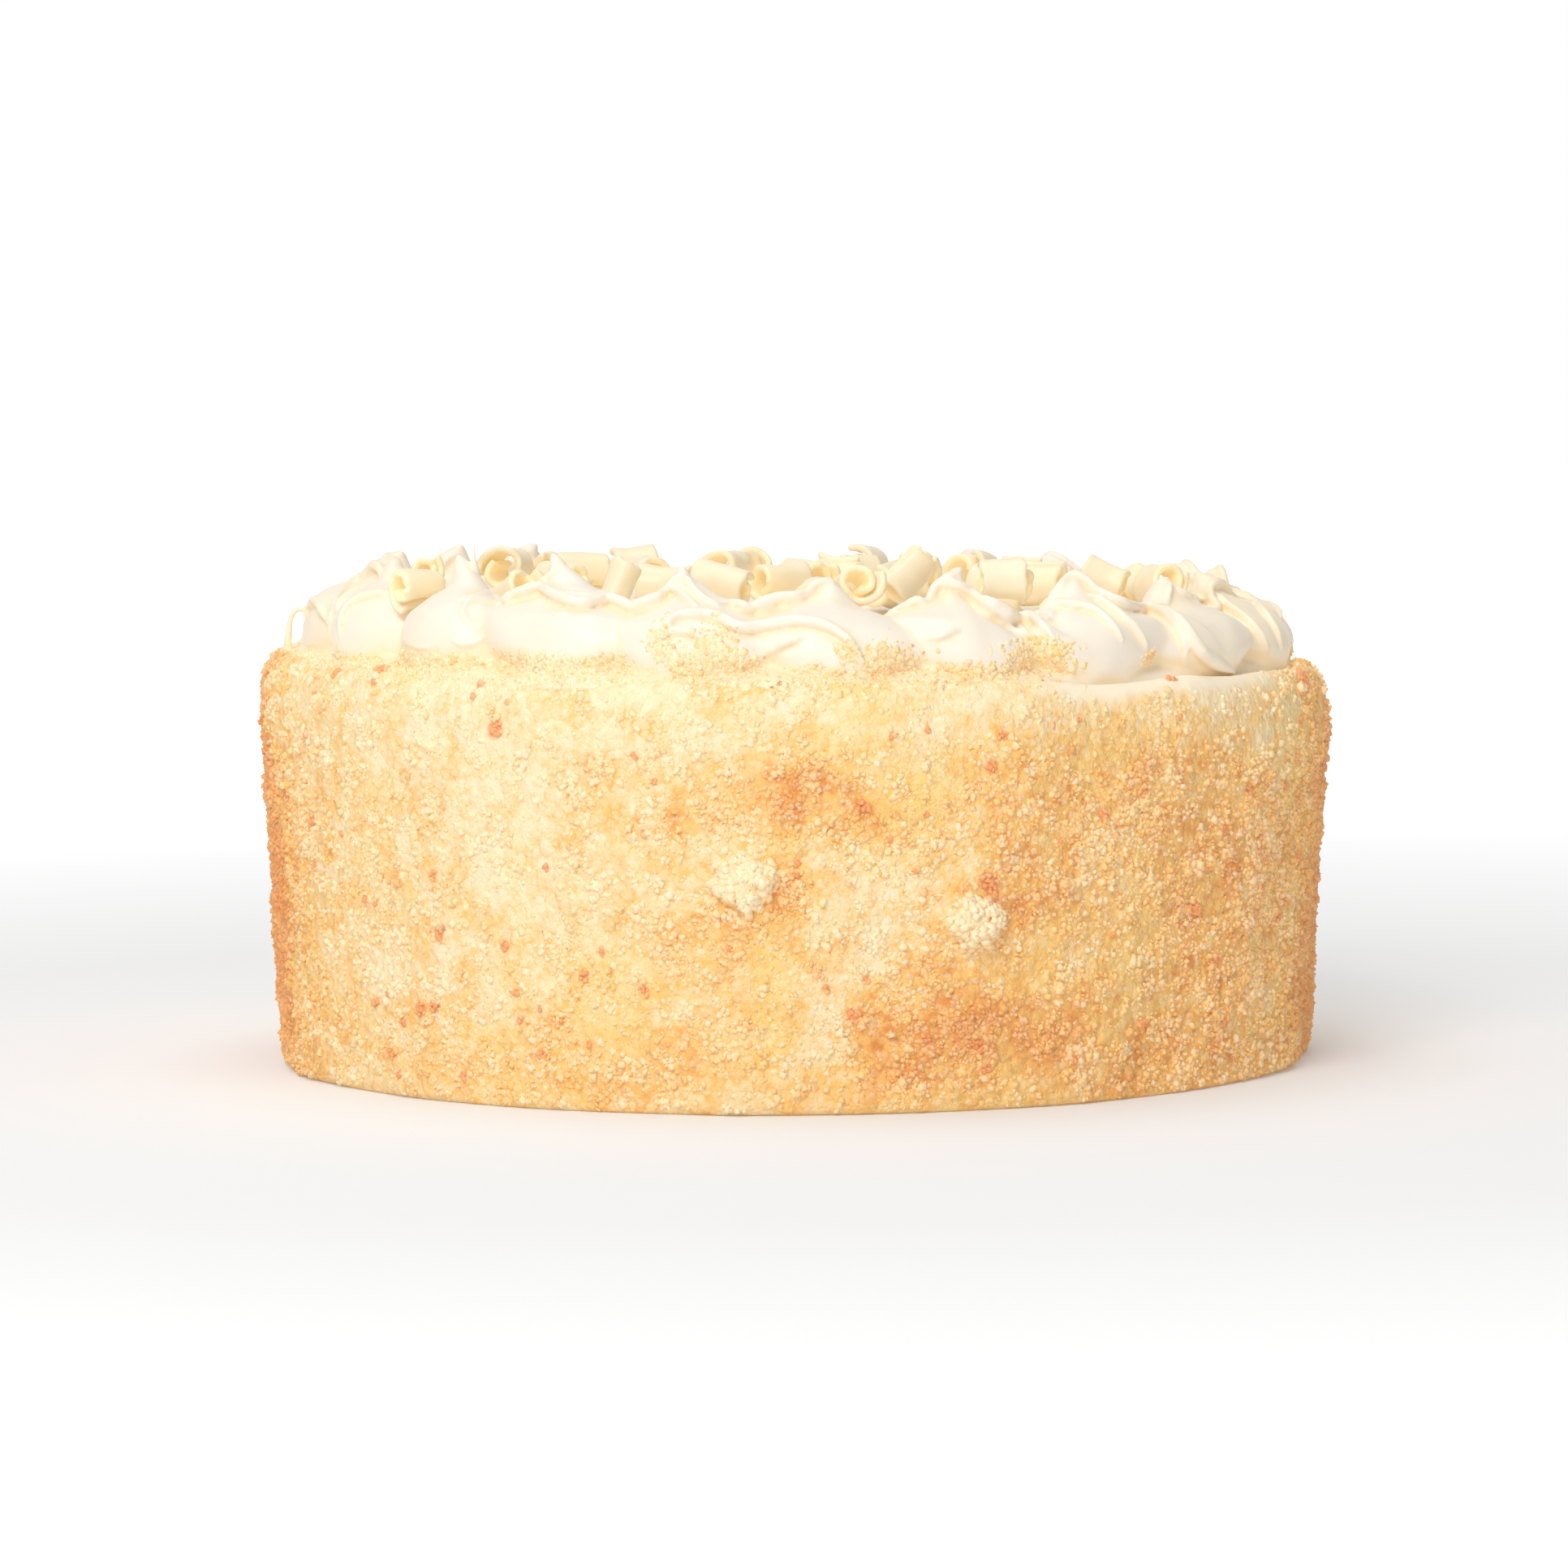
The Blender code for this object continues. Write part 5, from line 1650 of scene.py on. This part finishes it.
@dataclass
class LooseCrumbs:
    """Crumbs stuck to the coat, in clumps, and those that the piping has picked up.

    They keep outside a radius of coat_edge on the coat, and of cream_edge on the cream. The crumbs
    of a clump lie about clump apart.
    """

    plan: CakePlan
    coat: CrumbCoat
    ring: PipedRing
    shapes: int = 14
    share: float = 1.0
    clump: float = 0.34
    coat_edge: float = 83.0
    cream_edge: float = 80.6

    def moulds(self) -> tuple[Points, np.ndarray]:
        """Return the points of each shape of grain, and the faces that they share."""
        points = []
        for seed in range(self.shapes):
            Bench.clear()
            bpy.ops.mesh.primitive_cube_add(size=1.34)
            item = Bench.take("grain")
            with Bench.editing(item):
                bpy.ops.mesh.quads_convert_to_tris()
                bpy.ops.transform.vertex_random(offset=0.52, seed=seed)
            points.append(Bench.points(item))
            faces = np.array([tuple(face.vertices) for face in item.data.polygons])
            bpy.data.objects.remove(item, do_unlink=True)
        return np.array(points), faces

    def weights(self, kind: CrumbKind) -> Values:
        """Return how likely a crumb of a kind is at each point of the coat."""
        coat, area = self.coat, self.coat.areas
        points = coat.outline
        # This also holds the painted shade at the coat's edges, so more golden and toasted crumbs
        # gather there.
        gold = area.gold(coat.azimuth, coat.height, points)
        thick = area.thick(coat.azimuth, coat.height, points)
        lump = np.clip(coat.lumpy / 1.5, 0.0, 1.0)
        seed = 50.0 + 9.0 * len(kind.name)
        wild = step(-0.1, 0.40, ripple(points, 5.0, seed, 3))
        rare = step(0.0, 0.5, ripple(points, 6.0, seed, 3)) ** 3
        shares = {
            CrumbKind.PALE: (0.35 + 0.7 * thick) * (0.22 + 1.2 * wild) + 5.0 * lump,
            CrumbKind.CREAM: (0.45 + 0.55 * thick) * (0.25 + 1.2 * wild) + 1.2 * lump,
            CrumbKind.PEACH: (0.25 + 0.75 * thick) * (0.30 + 0.7 * gold) * (0.25 + 1.1 * wild),
            CrumbKind.GOLDEN: (0.20 + 0.80 * thick) * (0.16 + 1.1 * gold) * (0.25 + 1.1 * wild),
            CrumbKind.TOASTED: (0.10 + thick * (0.2 + 1.2 * gold)) * (0.10 + rare),
            CrumbKind.DARK: 0.001 + coat.toasted(points) * (0.1 + rare),
        }[kind]
        if kind in (CrumbKind.GOLDEN, CrumbKind.PEACH, CrumbKind.TOASTED, CrumbKind.DARK):
            shares = shares * (1.0 - lump)
        bare = (coat.height < 0.5) | (np.hypot(points[:, 0], points[:, 1]) < self.coat_edge)
        plain = area.cream(coat.azimuth, coat.height, points)
        return np.where(bare, 0.0, shares * (1.0 - 0.97 * plain))

    @cached_property
    def coat_tree(self) -> BVHTree:
        """Return a search tree over the coat."""
        return Bench.surface(self.coat.item)

    def on_coat(self, kind: CrumbKind, count: int, dice: np.random.RandomState) -> Spots:
        """Strew crumbs over the coat, a few of them in each clump."""
        weights = self.weights(kind)
        points, normals = self.coat.outline, Bench.normals(self.coat.item)
        seeds = dice.choice(len(points), size=count // 2, p=weights / weights.sum())
        crowd = dice.geometric(0.26, len(seeds))
        owners = np.repeat(seeds, crowd)[:count]
        crowd = np.repeat(crowd, crowd)[:count]
        reach = self.clump * np.sqrt(crowd)
        shift = dice.normal(size=(len(owners), 3)) * reach[:, None]
        sizes = kind.value.sizes(len(owners), dice)
        heap = 0.45 * np.exp(-np.linalg.norm(shift, axis=1) / reach)
        lift = sizes * dice.uniform(-0.8, 0.0, len(owners)) + heap * np.minimum(1.0, crowd / 7.0)
        if kind is CrumbKind.TOASTED:
            spots, grains, ring = self._toasted(dice)
            keep = max(0, count - len(spots))
            owners = np.concatenate([owners[:keep], spots])
            shift = np.vstack([shift[:keep], ring])
            sizes = np.concatenate([sizes[:keep], grains])
            lift = np.concatenate([lift[:keep], grains * 0.2])
        if kind in (CrumbKind.PALE, CrumbKind.CREAM):
            sizes = sizes * (1.0 + 0.35 * np.clip(self.coat.lumpy[owners] / 1.5, 0.0, 1.0))
        out = normals[owners]
        shift = shift - out * (shift * out).sum(axis=1)[:, None]
        spots = points[owners] + shift
        hits = [self.coat_tree.find_nearest(spot) for spot in spots.tolist()]
        spots = np.array([hit[0] for hit in hits])
        out = np.array([hit[1] for hit in hits])
        spots[:, 2] = np.maximum(spots[:, 2], sizes * 1.8)
        return Spots(spots + out * lift[:, None], out, sizes)

    def _toasted(self, dice: np.random.RandomState) -> tuple[np.ndarray, Values, Points]:
        """Gather toasted crumbs into the coat's spots.

        Args:
            dice: Draws their places.

        Returns:
            For each crumb: the coat's point that owns it, its size, and its shift from there.
        """
        owners, sizes, shifts = [], [], []
        for middle, size in self.coat.spots:
            number = round(9.0 * size ** 1.7)
            owners += [middle] * number
            sizes += list(dice.uniform(0.30, 0.50, number))
            shifts += list(dice.normal(size=(number, 3)) * 0.45 * size)
        return np.array(owners, int), np.array(sizes), np.array(shifts).reshape(-1, 3)

    def on_cream(self, tree: BVHTree, kind: CrumbKind, dice: np.random.RandomState) -> Spots:
        """Strew the crumbs that stick to the dollops' feet."""
        part = {CrumbKind.PALE: 0.34, CrumbKind.CREAM: 0.32, CrumbKind.PEACH: 0.13,
                CrumbKind.GOLDEN: 0.20, CrumbKind.TOASTED: 0.014, CrumbKind.DARK: 0.0}[kind]
        rows: list[tuple[Vector, Vector]] = []
        for azimuth, level, wide, tall, count in CRUMBED:
            for _ in range(round(count * part * 1.9)):
                turn = azimuth + wide * dice.normal() * 0.6
                height = level / self.plan.slope(turn) + tall * dice.normal() * 0.6
                spot, normal, _, _ = tree.ray_cast(*self.plan.outside(turn, height), 60.0)
                if spot is not None and math.hypot(spot.x, spot.y) > self.cream_edge:
                    rows.append((spot, normal))
        if kind is CrumbKind.DARK:
            rows = self._groove_bits(tree, dice)
        if not rows:
            return Spots(np.zeros((0, 3)), np.zeros((0, 3)), np.zeros(0))
        spots, out = (np.array(block) for block in zip(*rows))
        sizes = kind.value.sizes(len(rows), dice)
        return Spots(spots - out * (sizes * 0.42)[:, None], out, sizes)

    def _groove_bits(self, tree: BVHTree,
                     dice: np.random.RandomState) -> list[tuple[Vector, Vector]]:
        """Return places for the dark bits at the foot of two grooves."""
        rows = []
        for azimuth, height in ((-1.4, 66.5), (15.1, 66.6)):
            for _ in range(9):
                start, aim = self.plan.outside(azimuth + dice.normal() * 0.45,
                                               height + dice.normal() * 0.35)
                spot, normal, _, _ = tree.ray_cast(start, aim, 60.0)
                if spot is not None:
                    rows.append((spot, normal))
        return rows

    def build_kind(self, kind: CrumbKind, tree: BVHTree, moulds: Points,
                   faces: np.ndarray) -> bpy.types.Object:
        """Cast all crumbs of one kind as one mesh."""
        batch = kind.value
        dice = np.random.RandomState(1000 + batch.count + 17 * len(batch.name))
        cream = self.on_cream(tree, kind, dice)
        count = int(batch.count * self.share) - len(cream.sizes)
        coat = self.on_coat(kind, count, dice)
        points = np.vstack([coat.points, cream.points])
        sizes = np.concatenate([coat.sizes, cream.sizes])
        total = len(sizes)
        turns = self._turns(dice, total)
        stretch = dice.uniform(0.7, 1.3, (total, 1, 3))
        grains = moulds[dice.randint(0, len(moulds), total)] * stretch * sizes[:, None, None]
        corners = np.einsum('nij,nkj->nki', turns, grains) + points[:, None, :]
        item = self._cast(batch.name, corners, faces)
        shades = {"tone": dice.uniform(size=total), **self._shades(points, len(coat.sizes))}
        for shade, values in shades.items():
            Bench.paint(item, shade, np.repeat(values, moulds.shape[1]))
        Bench.soften(item, 180.0)
        return item

    @staticmethod
    def _cast(name: str, corners: np.ndarray, faces: np.ndarray) -> bpy.types.Object:
        """Make one mesh of many grains.

        Args:
            name: Names the mesh.
            corners: The points of each grain.
            faces: The triangles that every grain has.

        Returns:
            The piece.
        """
        total, each = corners.shape[:2]
        rows = (faces[None] + each * np.arange(total)[:, None, None]).reshape(-1, 3)
        mesh = bpy.data.meshes.new(name)
        mesh.vertices.add(total * each)
        mesh.loops.add(rows.size)
        mesh.polygons.add(len(rows))
        mesh.vertices.foreach_set("co", corners.astype(np.float32).ravel())
        mesh.loops.foreach_set("vertex_index", rows.astype(np.int32).ravel())
        mesh.polygons.foreach_set("loop_start", np.arange(0, rows.size, 3, dtype=np.int32))
        mesh.update(calc_edges=True)
        item = bpy.data.objects.new(name, mesh)
        bpy.context.scene.collection.objects.link(item)
        return item

    def _shades(self, points: Points, coated: int) -> dict[str, Values]:
        """Return what the finish needs to know about each crumb.

        Args:
            points: The crumbs' places, those on the coat first.
            coated: How many of them lie on the coat.

        Returns:
            A value for each crumb, under each attribute's name.
        """
        area, azimuth, height = self.coat.areas, self.plan.azimuths(points), points[:, 2]
        lump = np.clip(self.coat.lump_rise(azimuth, height, points) / 2.0, 0.0, 1.0)
        gold = area.gold(azimuth, height, points) * (1.0 - lump)
        gold[coated:] = 0.10 + 0.20 * step(0.0, 8.0, azimuth[coated:])
        return {"gold": gold, "lemon": area.yellow(azimuth, height, points) * (1.0 - lump),
                "spot": self.coat.toasted(points)}

    @staticmethod
    def _turns(dice: np.random.RandomState, count: int) -> np.ndarray:
        """Return random turns, one matrix each."""
        quats = dice.normal(size=(count, 4))
        w, x, y, z = (quats / np.linalg.norm(quats, axis=1)[:, None]).T
        return np.stack([
            np.stack([1 - 2 * (y * y + z * z), 2 * (x * y - z * w), 2 * (x * z + y * w)], -1),
            np.stack([2 * (x * y + z * w), 1 - 2 * (x * x + z * z), 2 * (y * z - x * w)], -1),
            np.stack([2 * (x * z - y * w), 2 * (y * z + x * w), 1 - 2 * (x * x + y * y)], -1)], -2)

    def build(self) -> list[bpy.types.Object]:
        """Cast and dress every kind of crumb."""
        moulds, faces = self.moulds()
        tree = Bench.surface(self.ring.item)
        pieces = []
        for kind in CrumbKind:
            item = self.build_kind(kind, tree, moulds, faces)
            batch = kind.value
            finish = CrumbFinish(batch.name, batch.light, batch.strength).make()
            pieces.append(Bench.ship(item, finish, "sponge_crumb"))
        return pieces


# ---- the studio ----

@dataclass(frozen=True)
class Studio:
    """A plain white floor, soft lights and the camera at the photo's angle.

    sky shades the light by height, and wings by side, as (place, shade) from low to high.
    """

    sight: Sight = Sight()
    sensor: float = 36.0
    sky: tuple[tuple[float, float], ...] = ((0.16, 1.0), (0.42, 0.64))
    wings: tuple[tuple[float, float], ...] = ((0.03, 0.34), (0.35, 1.0), (0.63, 1.0), (0.93, 0.20))

    def camera(self) -> None:
        """Place the camera."""
        Bench.clear()
        bpy.ops.object.camera_add(location=Vector(self.sight.eye) * MM)
        camera = bpy.context.active_object
        camera.name = "camera"
        camera.data.sensor_width = self.sensor
        camera.data.lens = self.sight.focal / self.sight.frame * self.sensor
        camera.data.clip_start = 0.01
        camera.rotation_euler = self.sight.turn().to_euler()
        bpy.context.scene.camera = camera

    def floor(self) -> None:
        """Lay the floor."""
        Bench.clear()
        bpy.ops.mesh.primitive_circle_add(vertices=96, radius=6.0, fill_type='TRIFAN')
        floor = Bench.take("studio_floor")
        paint = Paint("floor_white", 0.85, 0.0, (1.0, 1.0, 1.0), 1.0, 0.0)
        paint.shader.inputs["Base Color"].default_value = (0.80, 0.80, 0.80, 1.0)
        paint.shader.inputs["Emission Strength"].default_value = 1.0
        away = paint.node('ShaderNodeVectorMath', {"operation": 'LENGTH'})
        paint.tree.links.new(paint.place, away.inputs[0])
        glow = paint.ramp(Value(away.outputs["Value"]) * 0.5, (0.10, (0.12, 0.12, 0.12)),
                          (0.50, (0.72, 0.72, 0.72)))
        paint.tree.links.new(glow, paint.shader.inputs["Emission Color"])
        floor.data.materials.append(paint.material)

    def lamp(self, name: str, place: Sequence[float], size: float, power: float,
             colour: Colour = (1.0, 1.0, 1.0)) -> None:
        """Hang a square soft light, in metres and watts, aimed at the cake."""
        Bench.clear()
        bpy.ops.object.light_add(type='AREA', location=place)
        lamp = bpy.context.active_object
        lamp.name = name
        lamp.data.size = size
        lamp.data.energy = power
        lamp.data.color = colour
        aim = Vector((0.0, 0.0, 0.05)) - Vector(place)
        lamp.rotation_euler = aim.to_track_quat('-Z', 'Y').to_euler()

    def air(self) -> None:
        """Surround the cake with white: softer overhead, and darker to its left and right."""
        world = bpy.data.worlds.new("studio_air")
        bpy.context.scene.world = world
        world.use_nodes = True
        nodes, links = world.node_tree.nodes, world.node_tree.links
        where = nodes.new('ShaderNodeTexCoord')
        split = nodes.new('ShaderNodeSeparateXYZ')
        links.new(where.outputs["Generated"], split.inputs[0])
        aside = nodes.new('ShaderNodeMath')
        aside.operation = 'MULTIPLY_ADD'
        links.new(split.outputs["X"], aside.inputs[0])
        aside.inputs[1].default_value = aside.inputs[2].default_value = 0.5
        both = nodes.new('ShaderNodeVectorMath')
        both.operation = 'MULTIPLY'
        sources = (split.outputs["Z"], aside.outputs[0])
        for entry, source, stops in zip(both.inputs, sources, (self.sky, self.wings)):
            ramp = nodes.new('ShaderNodeValToRGB')
            Paint.set_stops(ramp.color_ramp.elements,
                            [(place, (shade, shade, shade)) for place, shade in stops])
            links.new(source, ramp.inputs["Fac"])
            links.new(ramp.outputs["Color"], entry)
        links.new(both.outputs[0], nodes["Background"].inputs["Color"])

    def build(self) -> None:
        """Set everything up."""
        self.camera()
        self.floor()
        self.air()
        self.lamp("key", (-0.50, -1.50, 1.25), 0.8, 15.8)
        self.lamp("top", (-0.2, 0.1, 1.9), 1.2, 8.0)
        bpy.context.scene.view_settings.view_transform = 'Standard'
        bpy.context.scene.view_settings.look = 'None'


def main() -> None:
    """Build and dress the cake, piece by piece."""
    logging.basicConfig(level=logging.INFO, format="%(message)s")
    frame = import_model()
    studio = Studio()
    studio.build()
    plan = CakePlan()

    coat = CrumbCoat(plan, CrumbMap())
    coat.build()
    ring = PipedRing(plan, voxel=PipedRing.voxel)
    ring.build()
    heap = CreamHeap(plan)
    heap.build()
    curls = []
    for number in range(1, CURLS + 1):
        pose = CurlPose.of_node(frame["nodes"][f"chocolate_curl_{number:02d}"])
        curl = RolledCurl(number, pose)
        curl.build()
        curls.append(curl)

    LooseCrumbs(plan, coat, ring, share=1.0).build()
    cream = CreamFinish().make()
    coat.dress()
    ring.dress(cream)
    heap.dress(cream)
    chocolate = ChocolateFinish().make()
    for curl in curls:
        curl.dress(chocolate)


if __name__ == "__main__":
    main()
